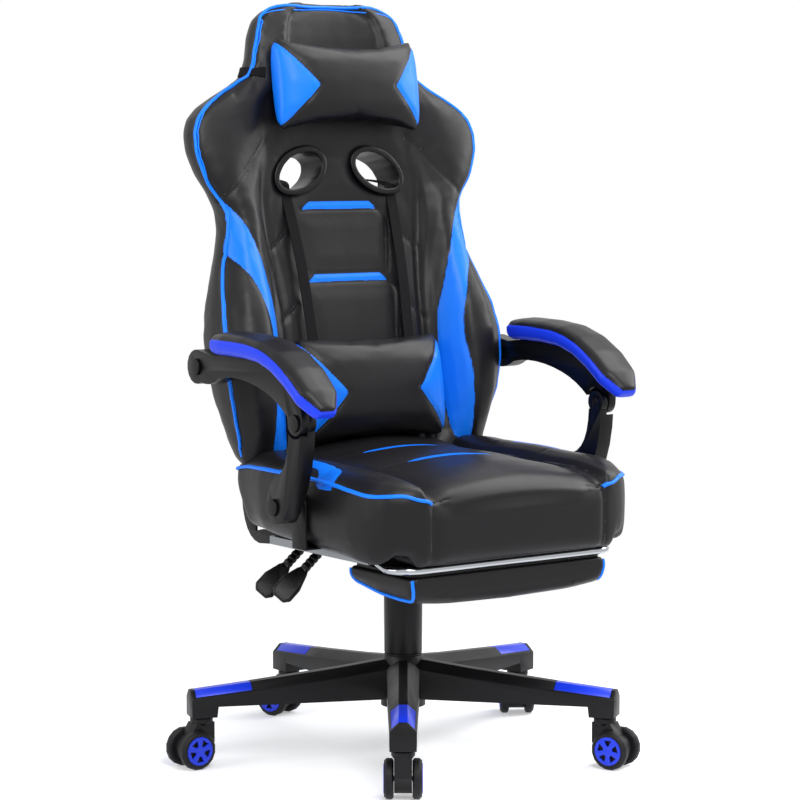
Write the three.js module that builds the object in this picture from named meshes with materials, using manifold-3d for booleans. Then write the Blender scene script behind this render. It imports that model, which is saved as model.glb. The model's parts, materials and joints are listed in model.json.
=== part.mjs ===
// Reclining gaming chair on a five-star base, with a pull-out footrest and linked armrests.
// Millimetres, +Z up. The sitter faces -Y, so +X is the sitter's left.
// Everything is laid out from the column axis and the floor; the last lines centre the chair.

import * as THREE from 'three';
import { mergeVertices } from 'three/addons/utils/BufferGeometryUtils.js';
import Module from 'manifold-3d';

const wasm = await Module();
wasm.setup();

// ---------------------------------------------------------------- shared clearances
const seatGap = 0.3; // between pieces that touch
const runGap = 0.6; // between pieces that slide or turn past each other

// ---------------------------------------------------------------- base and casters
const armCount = 5;
const firstArmAngle = 36; // degrees from the front, towards the sitter's left
const stemCircle = 333; // radius of the circle of caster stems
const armEndPast = 19; // arm length beyond the stem
const armRootHalf = 27;
const armTipHalf = 20.5;
const armRootTop = 157;
const armTipTop = 123;
const armRootBottom = 90;
const armTipBottom = 96;
const armBevel = 13; // drop of the sloping shoulders
const armRidgeHalf = 7;
const armWall = 4;
const endBlockBottom = 79;
const endBlockInset = 23; // from the stem towards the hub
const hubRadius = 36;
const hubTopRadius = 31;
const hubBottom = 76;
const hubOverArms = 1; // top of the hub over the roots of the arms

const capStart = 78; // blue arm cap, from the stem towards the hub
const capEnd = 12; // and beyond the stem
const capDepth = 2.2;
const capSide = 3; // nylon left beside it

const wheelRadius = 30.5;
const wheelWidth = 14.5;
const wheelSides = 16;
const hubDiscRadius = 22.5;
const hubDiscThickness = 2.6;
const hubDiscProud = 1.2;
const spokeCount = 5;
const axleRadius = 3.9;
const stemRadius = 5.5;
const stemTop = 108;
const stemDepth = 14; // how far the stem goes down into the hood
const casterTrail = 20; // wheel centre behind the stem axis
const hoodHalf = 13.4;
const hoodRound = 22;
const hoodTop = 70;
const collarRadius = 18;
const collarGap = 2.5; // between a caster's collar and the block over it
const casterHeadings = [54, -68, 56, 109, 180]; // the way each one trails, degrees about +Z from +X

// ---------------------------------------------------------------- gas lift column
const cylinderRadius = 25;
const cylinderTop = 280;
const pistonRadius = 14;
const pistonBottom = 130;
const coverWall = 1.2;
const coverUnderMechanism = 1;

// ---------------------------------------------------------------- seat
const boardTop = 374;
const boardThickness = 10;
const boardHalf = 195;
const boardFront = -240;
const boardRear = 108;
const boardCorner = 40;
const seatHalf = 250;
const seatFront = -303;
const seatRear = 125;
const seatBottom = 361;
const seatEdgeTop = 462;
const seatPanelTop = 471;
const seatBolsterTop = 485;
const seatRearFall = 24; // drop of the middle panel towards the back edge
const bolsterRearFall = 36;
const seatSeam = 156; // half width of the middle panel
const seatRearLift = 10; // how far the lower edge rises towards the back
const seatFrontDrop = 20;

const mechanismHalf = 56;
const mechanismFront = -62;
const mechanismRear = 96;
const mechanismBottom = 312;
const plateThickness = 3.2;
const plateHalfX = 128;

// ---------------------------------------------------------------- backrest and its hinge
const hingeBehindSeat = 25;
const hingeZ = 418;
const hingePinRadius = 7;
const hingePlate = 4;
const hingePlateRound = 21;
const hingePlateOverFoot = 32; // top of the back's plates over the foot of the backrest
const backLean = 0.146; // rise of y with z
const backFootInset = 24; // front edge of the backrest's foot, ahead of the seat's back edge
const backFootBelowPanel = 1; // foot of the backrest under the crown of the seat
const backFootBelowBolster = 15; // and under its bolsters, whichever is higher
const backTopZ = 1201;
const backThickness = 55;
const backSeam = 141; // half width of the middle panel
const backTube = 9;
const backTubeX = 190;
const backTubeTop = 1035;
const backTubeBelowFoot = 2;
const backTubeBend = 60;
const backTubeDepth = 27; // behind the front edge line

// Each table gives [share of the backrest's height, value]: half width, how far the outer edge wraps
// forward, bolster height, middle panel, and depth.
const backWidths = [[0.0027, 223], [0.0192, 231], [0.0684, 243], [0.1368, 258], [0.2326, 268],
  [0.3146, 264], [0.3967, 248], [0.4788, 231], [0.5267, 227], [0.5677, 236], [0.6156, 258], [0.6703, 273],
  [0.725, 272], [0.7592, 254], [0.7866, 222], [0.8098, 190], [0.8345, 162], [0.8755, 149], [0.9302, 141],
  [0.9644, 130], [0.9877, 108], [1, 70]];
const backWraps = [[0.0027, 0], [0.041, 4], [0.1231, 24], [0.2326, 31], [0.3146, 26], [0.3967, 10],
  [0.4788, 1], [1, -3]];
const backCrests = [[0.0027, 3], [0.041, 15], [0.1778, 22], [0.342, 22], [0.4788, 20], [0.5882, 12],
  [0.6977, 10], [0.7798, 4], [1, 2]];
const backPanels = [[0.0027, -6], [0.041, -18], [0.1778, -20], [0.5335, -22], [0.6703, -16], [0.7798, -10],
  [0.9302, -6], [1, -12]];
const backDepths = [[0.0027, backThickness - 22], [0.0192, backThickness - 4], [0.041, backThickness],
  [0.725, backThickness], [0.9302, backThickness - 3], [0.9781, backThickness - 14], [1, 18]];

const holeX = 75;
const holeZ = 932;
const holeHalfWidth = 45;
const holeHalfHeight = 27;
const holeTilt = -24; // degrees, outer end down
const bezelWall = 4;
const bezelLip = 7;
const bezelLipThickness = 3;

// ---------------------------------------------------------------- pillows
const headHalfWidth = 138;
const headHalfHeight = 76;
const headHalfDepth = 37;
const headBelowTop = 133; // middle of the head pillow, under the top of the backrest
const lumbarHalfWidth = 140;
const lumbarHalfHeight = 86;
const lumbarHalfDepth = 45;
const lumbarAboveFoot = 110; // middle of the lumbar pillow, over the foot of the backrest
const strapX = 90;
const strapWidth = 12;
const strapThickness = 2;

// ---------------------------------------------------------------- armrests
const armBeside = 40; // middle plane of an armrest, beyond the side of the seat
const armOffBack = 6; // least room between an armrest and the side of the backrest
const armThickness = 27;
const rearPivotY = 132;
const rearPivotZ = 626;
const frontPivotY = -145;
const frontPivotZ = 560;
const footPivotY = -86;
const footPivotZ = 428;
const rearBoss = 27;
const frontBoss = 19;
const footBoss = 19;
const pivotPin = 6;
const openPivotPlay = 4; // slack at the front pivot, which the linkage needs
const padHalfWidth = 38;
const padHalfThickness = 16.5;
const bracketThickness = 4;
const bracketHalf = 18;

// ---------------------------------------------------------------- footrest
const railBesideBracket = 1.4;
const railWidth = 16;
const railHeight = 12.8;
const railWall = 1.4;
const railBehindBar = 75;
const railRear = 62;
const barRadius = 4.7;
const barY = -280;
const barBend = 38; // reach of the tube's two bends
const barDrop = 9; // of the bar under the legs in the rails
const dropLength = 32;
const legRear = 50;
const restHalf = 187;
const restDepth = 168;
const clipFloor = 1.2; // wall of the clips between the bar and the pad's board
const restThickness = 42;
const restBoard = 5;
const clipX = 120;
const clipWidth = 24;
const clipWall = 3;

// ---------------------------------------------------------------- levers
const leverYs = { recline_lever: 35, lift_lever: -15 };
const leverUnderPlate = 20.7; // lever rods under the top plate of the mechanism
const leverBendX = -168;
const leverRod = 4;
const sleeveRadius = 8;
const sleeveLength = 36;
const sleeveRibs = 4;
const paddleLength = 64;
const paddleWidth = 27;
const paddleThickness = 8;
const leverSlope = 40; // degrees down

// ================================================================ places that follow from the sizes
const hubTop = armRootTop + hubOverArms;
const boardBottom = boardTop - boardThickness;
const plateTop = boardBottom - seatGap;
const collarTop = endBlockBottom - collarGap;
const coverTop = mechanismBottom - coverUnderMechanism;
const hingeY = seatRear + hingeBehindSeat;
const hingePlateX = backTubeX; // the back's plates are welded under its tube
const bracketIn = hingePlateX + hingePlate / 2 + runGap;
const bracketOut = bracketIn + hingePlate;
const backFootY = seatRear - backFootInset;
const backFootZ = Math.max(seatPanelTop - backFootBelowPanel, seatBolsterTop - backFootBelowBolster);
const hingePlateTop = backFootZ + hingePlateOverFoot;
const backTubeFoot = backFootZ - backTubeBelowFoot;
const backHeight = backTopZ - backFootZ;
const upBack = (share) => backFootZ + share * backHeight;
const alongBack = (table, z) => smooth(table, (z - backFootZ) / backHeight);
const headZ = backTopZ - headBelowTop;
const lumbarZ = backFootZ + lumbarAboveFoot;
const backSideAtArm = alongBack(backWidths, rearPivotZ);
const armX = Math.max(seatHalf + armBeside, backSideAtArm + armOffBack + armThickness / 2);
const armIn = armX - armThickness / 2;
const armOut = armX + armThickness / 2;
const railX = bracketOut + railBesideBracket + railWidth / 2;
const railFront = barY + railBehindBar;
const leverZ = plateTop - leverUnderPlate;

// ================================================================ helpers
const degrees = Math.PI / 180;
const chair = new THREE.Group();

function solid(geometry) {
  const bare = geometry.clone();
  bare.deleteAttribute('normal');
  bare.deleteAttribute('uv');
  const merged = mergeVertices(bare, 1e-4);
  return new wasm.Manifold(new wasm.Mesh({
    numProp: 3,
    vertProperties: new Float32Array(merged.attributes.position.array),
    triVerts: new Uint32Array(merged.index.array),
  }));
}

function geometryOf(manifold) {
  const mesh = manifold.getMesh();
  const geometry = new THREE.BufferGeometry();
  geometry.setAttribute('position', new THREE.BufferAttribute(new Float32Array(mesh.vertProperties), 3));
  geometry.setIndex(new THREE.BufferAttribute(new Uint32Array(mesh.triVerts), 1));
  return geometry;
}

function join(...geometries) {
  return geometryOf(geometries.map(solid).reduce((whole, next) => whole.add(next)));
}

function cut(geometry, ...tools) {
  return geometryOf(tools.map(solid).reduce((whole, tool) => whole.subtract(tool), solid(geometry)));
}

// Signed volume of a closed skin: negative when its faces point inwards.
function volumeOf(geometry) {
  const { position } = geometry.attributes;
  const [a, b, c] = [new THREE.Vector3(), new THREE.Vector3(), new THREE.Vector3()];
  let sum = 0;
  for (let i = 0; i < geometry.index.count; i += 3) {
    a.fromBufferAttribute(position, geometry.index.getX(i));
    b.fromBufferAttribute(position, geometry.index.getX(i + 1));
    c.fromBufferAttribute(position, geometry.index.getX(i + 2));
    sum += a.dot(b.cross(c));
  }
  return sum / 6;
}

function turnedOut(geometry) {
  const faces = Array.from(geometry.index.array);
  for (let i = 0; i < faces.length; i += 3) [faces[i + 1], faces[i + 2]] = [faces[i + 2], faces[i + 1]];
  geometry.setIndex(faces);
  return geometry;
}

// Triangles across one flat ring, by the numbers of its points, turning the way the ring does.
function endFaces(ring) {
  const normal = new THREE.Vector3();
  const next = (i) => ring[(i + 1) % ring.length];
  ring.forEach((point, i) => normal.add(new THREE.Vector3().crossVectors(point, next(i))));
  const across = ring[1].clone().sub(ring[0]).normalize();
  const up = new THREE.Vector3().crossVectors(normal.normalize(), across);
  const flat = ring.map((point) => new THREE.Vector2(point.dot(across), point.dot(up)));
  return THREE.ShapeUtils.triangulateShape(flat, []);
}

// Closed skin through rings of points, every ring with as many points, capped at both ends.
function loft(rings) {
  const count = rings[0].length;
  const points = rings.flat();
  const faces = [];
  for (let i = 0; i + 1 < rings.length; i++) {
    for (let j = 0; j < count; j++) {
      const a = i * count + j;
      const b = i * count + (j + 1) % count;
      faces.push(a, b, b + count, a, b + count, a + count);
    }
  }
  const last = points.length - count;
  for (const [a, b, c] of endFaces(rings[0])) faces.push(c, b, a);
  for (const [a, b, c] of endFaces(rings.at(-1))) faces.push(last + a, last + b, last + c);
  const geometry = new THREE.BufferGeometry().setFromPoints(points);
  geometry.setIndex(faces);
  return volumeOf(geometry) > 0 ? geometry : turnedOut(geometry);
}

function box(low, high) {
  const size = high.map((value, i) => value - low[i]);
  return new THREE.BoxGeometry(...size).translate(...low.map((value, i) => value + size[i] / 2));
}

// Round bar from a to b.
function bar(a, b, radius, sides = 12) {
  const from = new THREE.Vector3(...a);
  const along = new THREE.Vector3(...b).sub(from);
  const upright = new THREE.Vector3(0, 1, 0);
  const turn = new THREE.Quaternion().setFromUnitVectors(upright, along.clone().normalize());
  const geometry = new THREE.CylinderGeometry(radius, radius, along.length(), sides);
  return geometry.applyQuaternion(turn).translate(...from.addScaledVector(along, 0.5).toArray());
}

// Turned piece about +Z from [radius, z] pairs that close on themselves or on the axis.
function turned(profile, sides) {
  const points = profile.map(([radius, z]) => new THREE.Vector2(radius, z));
  return new THREE.LatheGeometry(points, sides).rotateX(Math.PI / 2);
}

function ring(inner, outer, bottom, top, sides) {
  return turned([[inner, bottom], [outer, bottom], [outer, top], [inner, top], [inner, bottom]], sides);
}

// Outline drawn in Y and Z, given its thickness along X.
function plateAcross(shape, fromX, toX, curveSegments = 6) {
  const settings = { depth: toX - fromX, bevelEnabled: false, curveSegments };
  const geometry = new THREE.ExtrudeGeometry(shape, settings);
  const axes = new THREE.Matrix4().makeBasis(
    new THREE.Vector3(0, 1, 0), new THREE.Vector3(0, 0, 1), new THREE.Vector3(1, 0, 0));
  return geometry.applyMatrix4(axes).translate(fromX, 0, 0);
}

function circleShape(x, y, radius, sides) {
  const points = [];
  for (let i = 0; i < sides; i++) {
    const angle = (i + 0.5) / sides * 2 * Math.PI;
    points.push(new THREE.Vector2(x + radius * Math.cos(angle), y + radius * Math.sin(angle)));
  }
  return new THREE.Shape(points);
}

// Smooth value through [position, value] stations.
function smooth(stations, at) {
  const curve = stations.map(([x, y]) => new THREE.Vector2(x, y));
  if (at <= curve[0].x) return curve[0].y;
  if (at >= curve.at(-1).x) return curve.at(-1).y;
  const i = curve.findIndex((point) => point.x > at) - 1;
  const slope = (k) => {
    const before = curve[Math.max(k - 1, 0)];
    const after = curve[Math.min(k + 1, curve.length - 1)];
    return (after.y - before.y) / (after.x - before.x);
  };
  const width = curve[i + 1].x - curve[i].x;
  const t = (at - curve[i].x) / width;
  return (1 + 2 * t) * (1 - t) ** 2 * curve[i].y + t * (1 - t) ** 2 * width * slope(i)
    + t * t * (3 - 2 * t) * curve[i + 1].y + t * t * (t - 1) * width * slope(i + 1);
}

const palette = {
  nylon: { color: 0x17181a, roughness: 0.45, metalness: 0 },
  blue: { color: 0x1c3fd6, roughness: 0.4, metalness: 0 },
  rubber: { color: 0x101113, roughness: 0.7, metalness: 0 },
  steel: { color: 0x8d9094, roughness: 0.35, metalness: 0.9 },
  blackSteel: { color: 0x141516, roughness: 0.5, metalness: 0.3 },
  chrome: { color: 0xd6d9dc, roughness: 0.12, metalness: 1 },
  leather: { color: 0x1b1b1d, roughness: 0.5, metalness: 0 },
  blueLeather: { color: 0x2f7fe6, roughness: 0.5, metalness: 0 },
  webbing: { color: 0x0d0d0e, roughness: 0.9, metalness: 0 },
  plywood: { color: 0x2a2420, roughness: 0.8, metalness: 0 },
};

function add(name, geometry, finish, parent = chair) {
  const mesh = new THREE.Mesh(geometry, new THREE.MeshStandardMaterial(palette[finish]));
  mesh.name = name;
  parent.add(mesh);
  return mesh;
}

// ================================================================ five-star base
const armAngles = Array.from({ length: armCount }, (_, i) => firstArmAngle - 72 + i * 360 / armCount);

// Cross-section of an arm: narrow ridge, sloping shoulders, upright sides.
function armSection(reach, half, top, bottom) {
  const outline = [[-half, bottom], [-half, top - armBevel], [-armRidgeHalf, top], [armRidgeHalf, top],
    [half, top - armBevel], [half, bottom]];
  return outline.map(([across, z]) => new THREE.Vector3(reach, across, z));
}

function armAt(reach) {
  const share = reach / stemCircle;
  return {
    half: THREE.MathUtils.lerp(armRootHalf, armTipHalf, share),
    top: THREE.MathUtils.lerp(armRootTop, armTipTop, share ** 0.8),
    bottom: THREE.MathUtils.lerp(armRootBottom, armTipBottom, share),
  };
}

function armBlank() {
  const blockStart = stemCircle - endBlockInset;
  const stations = [hubRadius / 2, stemCircle / 3, stemCircle * 0.66, blockStart].map((reach) => {
    const { half, top, bottom } = armAt(reach);
    return armSection(reach, half, top, bottom);
  });
  for (const reach of [blockStart + 2, stemCircle + armEndPast]) {
    const { half, top } = armAt(reach);
    stations.push(armSection(reach, half, top, endBlockBottom));
  }
  return loft(stations);
}

// Pocket under an arm, left open below, with cross ribs standing in it.
function armPocket(from, to) {
  const rings = [from, to].map((reach) => {
    const { half, top } = armAt(reach);
    const wide = half - armWall;
    const roof = top - armBevel - armWall;
    return [[-wide, 0], [-wide, roof], [wide, roof], [wide, 0]]
      .map(([across, z]) => new THREE.Vector3(reach, across, z));
  });
  return loft(rings);
}

// Slab that follows the roof of an arm: depth below it, and rise above it.
function armRoof(from, to, depth, rise, side) {
  const rings = [from, to].map((reach) => {
    const { half, top } = armAt(reach);
    const wide = half - side;
    const shoulder = top - armBevel * (wide - armRidgeHalf) / (half - armRidgeHalf);
    return [[-wide, shoulder - depth], [-wide, shoulder + rise], [-armRidgeHalf, top + rise],
      [armRidgeHalf, top + rise], [wide, shoulder + rise], [wide, shoulder - depth],
      [armRidgeHalf, top - depth], [-armRidgeHalf, top - depth]]
      .map(([across, z]) => new THREE.Vector3(reach, across, z));
  });
  return loft(rings);
}

const capFrom = stemCircle - capStart;
const capTo = stemCircle + capEnd;
const ribbedFrom = hubRadius + armWall * 4;
const ribbedTo = stemCircle - endBlockInset - armWall;
const pocketCount = 3;
const pocketLength = (ribbedTo - ribbedFrom) / pocketCount;

let star = solid(turned([[0, hubBottom], [hubRadius, hubBottom], [hubRadius - 2, hubTop - 12],
  [hubTopRadius, hubTop], [0, hubTop]], 24));
armAngles.forEach((angle, i) => {
  const turn = (angle - 90) * degrees;
  let arm = solid(armBlank());
  for (let pocket = 0; pocket < pocketCount; pocket++) {
    const start = ribbedFrom + pocket * pocketLength;
    arm = arm.subtract(solid(armPocket(start, start + pocketLength - armWall)));
  }
  const capRoom = armRoof(capFrom - seatGap, capTo + seatGap, capDepth + seatGap, 5, capSide - seatGap);
  const stemRoom = bar([stemCircle, 0, 0], [stemCircle, 0, stemTop + seatGap], stemRadius + seatGap);
  arm = arm.subtract(solid(capRoom)).subtract(solid(stemRoom));
  star = star.add(solid(geometryOf(arm).rotateZ(turn)));
  add(`arm_cap_${i + 1}`, armRoof(capFrom, capTo, capDepth, 0, capSide).rotateZ(turn), 'blue');
});
star = star.subtract(solid(bar([0, 0, 0], [0, 0, hubTop + 1], cylinderRadius + seatGap, 24)));
add('base_star', geometryOf(star), 'nylon');

// ================================================================ casters
const wheelCentreZ = wheelRadius * Math.cos(Math.PI / wheelSides); // a flat of the tread is down
const wheelIn = hoodHalf + runGap;
const wheelOut = wheelIn + wheelWidth;

// Round hood between the wheels, running up to the stem.
function casterHood() {
  const outline = new THREE.Shape();
  const start = 200 * degrees;
  outline.moveTo(-collarRadius + 2, hoodTop);
  outline.lineTo(-collarRadius + 2, wheelCentreZ + 8);
  outline.absarc(casterTrail, wheelCentreZ, hoodRound, start, start + 230 * degrees, false);
  outline.lineTo(collarRadius - 2, hoodTop);
  const settings = { depth: 2 * hoodHalf, bevelEnabled: false, curveSegments: 8 };
  const web = new THREE.ExtrudeGeometry(outline, settings).rotateX(Math.PI / 2).translate(0, hoodHalf, 0);
  const collar = turned([[0, hoodTop - 4], [collarRadius - 3, hoodTop - 4], [collarRadius, hoodTop],
    [collarRadius, collarTop], [0, collarTop]], 14);
  const axleEnd = hoodHalf + 1;
  const axleHole = bar([casterTrail, -axleEnd, wheelCentreZ], [casterTrail, axleEnd, wheelCentreZ],
    axleRadius + seatGap);
  const stemHole = bar([0, 0, hoodTop - stemDepth], [0, 0, collarTop + 1], stemRadius + seatGap);
  return cut(join(web, collar), axleHole, stemHole);
}

// Steel stem with its retaining neck.
function casterStem() {
  const foot = hoodTop - stemDepth + seatGap;
  const neck = stemTop - 12;
  const waist = stemRadius - 1.2;
  return turned([[0, foot], [stemRadius, foot], [stemRadius, neck], [waist, neck + 1.5], [waist, neck + 4],
    [stemRadius, neck + 5.5], [stemRadius, stemTop - 2], [stemRadius - 2, stemTop], [0, stemTop]], 12);
}

// Wheel about +Z: tread, a dished outer face, and a hub that the axle is pressed into.
function casterWheel() {
  const dish = wheelOut - hubDiscThickness + hubDiscProud - 3;
  return turned([[0, wheelIn], [wheelRadius - 3, wheelIn], [wheelRadius, wheelIn + 2.5],
    [wheelRadius, wheelOut - 4], [wheelRadius - 3.5, wheelOut], [hubDiscRadius, wheelOut - 0.5],
    [hubDiscRadius - 3, dish], [0, dish]], wheelSides)
    .rotateZ(Math.PI / wheelSides);
}

// Five-spoked disc in the dish of a wheel.
function hubDisc() {
  const disc = circleShape(0, 0, hubDiscRadius, wheelSides);
  const half = Math.PI / spokeCount;
  for (let i = 0; i < spokeCount; i++) {
    const middle = Math.PI / 2 + i * 2 * half;
    const window = [[8.5, -0.38], [8.5, 0.38], [18.2, 0.56], [18.2, -0.56]].map(([radius, offset]) => {
      const angle = middle + offset * half;
      return new THREE.Vector2(radius * Math.cos(angle), radius * Math.sin(angle));
    });
    disc.holes.push(new THREE.Path(window));
  }
  const start = wheelOut - hubDiscThickness + hubDiscProud - seatGap;
  const settings = { depth: hubDiscThickness, bevelEnabled: false };
  return new THREE.ExtrudeGeometry(disc, settings).translate(0, 0, start);
}

// Both wheels on their axle, which turns in the hood.
function casterWheelSet() {
  const sides = [1, -1].flatMap((side) => [casterWheel(), hubDisc(),
    turned([[0, wheelIn + 2], [7.5, wheelIn + 2], [7.5, wheelOut - 0.5], [0, wheelOut - 0.5]], 10)]
    .map((piece) => piece.rotateX(side * -Math.PI / 2)));
  const axle = bar([0, -wheelIn - 2, 0], [0, wheelIn + 2, 0], axleRadius);
  return join(...sides, axle).translate(casterTrail, 0, wheelCentreZ);
}

armAngles.forEach((angle, i) => {
  const caster = new THREE.Group();
  caster.position.set(stemCircle * Math.sin(angle * degrees), -stemCircle * Math.cos(angle * degrees), 0);
  caster.rotation.z = casterHeadings[i] * degrees;
  chair.add(caster);
  add(`caster_hood_${i + 1}`, casterHood(), 'nylon', caster);
  add(`caster_stem_${i + 1}`, casterStem(), 'steel', caster);
  add(`caster_wheels_${i + 1}`, casterWheelSet(), 'rubber', caster);
});

// ================================================================ gas lift column
const lowerCoverIn = cylinderRadius + runGap;
const middleCoverIn = lowerCoverIn + coverWall + runGap;
const upperCoverIn = middleCoverIn + coverWall + runGap;
const mechanismSeatZ = mechanismBottom + 26;

const boreRadius = pistonRadius + runGap;
const boreFoot = pistonBottom - 20;
add('gas_cylinder', turned([[0, hubBottom], [cylinderRadius - 3, hubBottom],
  [cylinderRadius, hubBottom + 14], [cylinderRadius, cylinderTop], [boreRadius, cylinderTop],
  [boreRadius, boreFoot], [0, boreFoot]], 24), 'blackSteel');
add('gas_piston', turned([[0, pistonBottom], [pistonRadius, pistonBottom],
  [pistonRadius, mechanismSeatZ - 6], [pistonRadius - 1, mechanismSeatZ], [0, mechanismSeatZ]], 20), 'steel');
add('dust_cover_lower', turned([[lowerCoverIn, hubTop + seatGap], [hubTopRadius - 1, hubTop + seatGap],
  [hubTopRadius - 1, hubTop + 3], [lowerCoverIn + coverWall, hubTop + 3],
  [lowerCoverIn + coverWall, cylinderTop - 4], [lowerCoverIn, cylinderTop - 4],
  [lowerCoverIn, hubTop + seatGap]], 24), 'nylon');
add('dust_cover_middle', ring(middleCoverIn, middleCoverIn + coverWall, hubTop + 3 + seatGap,
  cylinderTop + 4, 24), 'nylon');
add('dust_cover_upper', turned([[upperCoverIn, hubTop + 4], [upperCoverIn + coverWall, hubTop + 4],
  [upperCoverIn + coverWall + 1, coverTop], [pistonRadius + seatGap, coverTop],
  [pistonRadius + seatGap, coverTop - 3], [upperCoverIn, coverTop - 3], [upperCoverIn, hubTop + 4]], 24),
'nylon');

// ================================================================ seat mechanism and board
function roundedRectangle(halfX, y0, y1, corner) {
  const shape = new THREE.Shape();
  shape.moveTo(-halfX + corner, y0);
  shape.lineTo(halfX - corner, y0);
  shape.absarc(halfX - corner, y0 + corner, corner, -Math.PI / 2, 0, false);
  shape.lineTo(halfX, y1 - corner);
  shape.absarc(halfX - corner, y1 - corner, corner, 0, Math.PI / 2, false);
  shape.lineTo(-halfX + corner, y1);
  shape.absarc(-halfX + corner, y1 - corner, corner, Math.PI / 2, Math.PI, false);
  shape.lineTo(-halfX, y0 + corner);
  shape.absarc(-halfX + corner, y0 + corner, corner, Math.PI, 1.5 * Math.PI, false);
  return shape;
}

function slab(shape, bottom, top, curveSegments = 4) {
  return new THREE.ExtrudeGeometry(shape, { depth: top - bottom, bevelEnabled: false, curveSegments })
    .translate(0, 0, bottom);
}

// Pressed steel box under a flat plate; the piston's taper seats in it and the lever rods enter its side.
const mechanismBox = slab(roundedRectangle(mechanismHalf, mechanismFront, mechanismRear, 12),
  mechanismBottom, plateTop - 1);
const mechanismPlate = slab(roundedRectangle(plateHalfX, mechanismFront - 12, mechanismRear + 10, 14),
  plateTop - plateThickness, plateTop);
const taperSocket = bar([0, 0, 0], [0, 0, mechanismSeatZ + seatGap], pistonRadius + seatGap, 20);
const rodEnd = -mechanismHalf + 15; // how far a lever's rod reaches into the mechanism
const rodPocket = Object.values(leverYs).map((y) => bar([-mechanismHalf - 1, y, leverZ],
  [rodEnd + runGap, y, leverZ], leverRod + 3));
add('mechanism', cut(join(mechanismBox, mechanismPlate), taperSocket, ...rodPocket), 'blackSteel');
const boardOutline = roundedRectangle(boardHalf, boardFront, boardRear, boardCorner);
add('seat_board', slab(boardOutline, boardBottom, boardTop), 'plywood');

// ================================================================ seat cushion
// Rings run from front to back. Each is a closed outline in X and Z: bolsters, piping edge and sides.
function seatRing(y) {
  const toFront = y - seatFront;
  const toRear = seatRear - y;
  const corner = 90;
  const round = Math.max(0, 1 - toFront / corner);
  const half = seatHalf - 100 * (1 - Math.sqrt(Math.max(0, 1 - round ** 2.3)))
    - 14 * THREE.MathUtils.smoothstep(y, 0, seatRear);
  const edge = seatEdgeTop + smooth([[0, -26], [14, -13], [60, -6], [160, 4], [330, 6],
    [seatRear - seatFront, -15]], toFront);
  const slope = seatFrontDrop * Math.max(0, 1 - toFront / 110) ** 2;
  const fall = slope + seatRearFall * Math.max(0, 1 - toRear / 52) ** 2;
  const nose = 12 * Math.max(0, 1 - toFront / 16);
  const panel = seatPanelTop - fall - nose;
  const rearFall = bolsterRearFall * Math.max(0, 1 - toRear / 80) ** 2;
  const crest = seatBolsterTop - slope - rearFall - nose;
  const bottom = seatBottom + seatRearLift * THREE.MathUtils.smoothstep(y, -140, boardRear)
    + 10 * Math.max(0, 1 - toFront / 14);
  const seam = Math.min(seatSeam, half - 30);
  const wing = half - seam;
  const right = [[0, panel + 1], [seam * 0.5, panel], [seam * 0.85, panel - 1], [seam, panel - 5],
    [seam + wing * 0.18, panel + 5], [seam + wing * 0.42, crest], [seam + wing * 0.72, crest - 3],
    [seam + wing * 0.93, edge + 6], [half, edge], [half + 2, (edge + bottom) / 2 + 14],
    [half + 1, (edge + bottom) / 2 - 22], [half - 4, bottom + 8], [half - 16, bottom]];
  const left = right.slice(1).reverse().map(([x, z]) => [-x, z]);
  return [...right, ...left].map(([x, z]) => new THREE.Vector3(x, y, z)).reverse();
}

const seatStations = [0, 5, 14, 30, 55, 90, 140, 200, 270, 340, 385, 408, 422, seatRear - seatFront];
const seatPad = loft(seatStations.map((reach) => seatRing(seatFront + reach)));
const boardRecess = slab(roundedRectangle(boardHalf + seatGap, boardFront - seatGap, boardRear + seatGap,
  boardCorner), boardBottom - 4, boardTop + seatGap);
const railRecess = box([-railX - railWidth, barY - barRadius - 1, 0],
  [railX + railWidth, hingeY + hingePlateRound, boardBottom + 1]);
const notchHalf = bracketHalf + seatGap;
const bracketNotches = [[railX, armX], [-armX, -railX]].map(([from, to]) => box(
  [from, footPivotY - notchHalf, 0], [to, footPivotY + notchHalf, plateTop + seatGap]));
add('seat_cushion', cut(seatPad, boardRecess, railRecess, ...bracketNotches), 'leather');

// ================================================================ recliner brackets on the seat
function reclinerBracket() {
  const outline = new THREE.Shape();
  outline.moveTo(30, plateTop);
  outline.lineTo(30, plateTop - 16);
  outline.lineTo(hingeY - 30, plateTop - 24);
  outline.quadraticCurveTo(hingeY + 14, plateTop - 20, hingeY + hingePlateRound, hingeZ - 6);
  outline.absarc(hingeY, hingeZ, hingePlateRound, 0, Math.PI, false);
  outline.lineTo(hingeY - hingePlateRound, seatBottom + seatRearLift - 12);
  outline.lineTo(boardRear + 2, plateTop);
  const web = plateAcross(outline, bracketIn, bracketOut);
  const flange = box([bracketIn - 26, 34, plateTop - hingePlate], [bracketIn + 1, boardRear - 6, plateTop]);
  const at = (x) => [x, hingeY, hingeZ];
  const pin = bar(at(hingePlateX - hingePlate / 2 - 3), at(bracketIn + 1), hingePinRadius);
  const head = bar(at(bracketIn + 1), at(bracketOut + 5), hingePinRadius + 4, 6);
  return join(web, flange, pin, head);
}

// Mirror image across the chair's middle plane, with its faces turned right again.
function mirrored(geometry) {
  return turnedOut(geometry.clone().applyMatrix4(new THREE.Matrix4().makeScale(-1, 1, 1)));
}

add('recliner_bracket_left', reclinerBracket(), 'blackSteel');
add('recliner_bracket_right', mirrored(reclinerBracket()), 'blackSteel');

// ================================================================ backrest
const leanAngle = Math.atan(backLean);
const edgeLineY = (z) => backFootY + backLean * (z - backFootZ);

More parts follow.
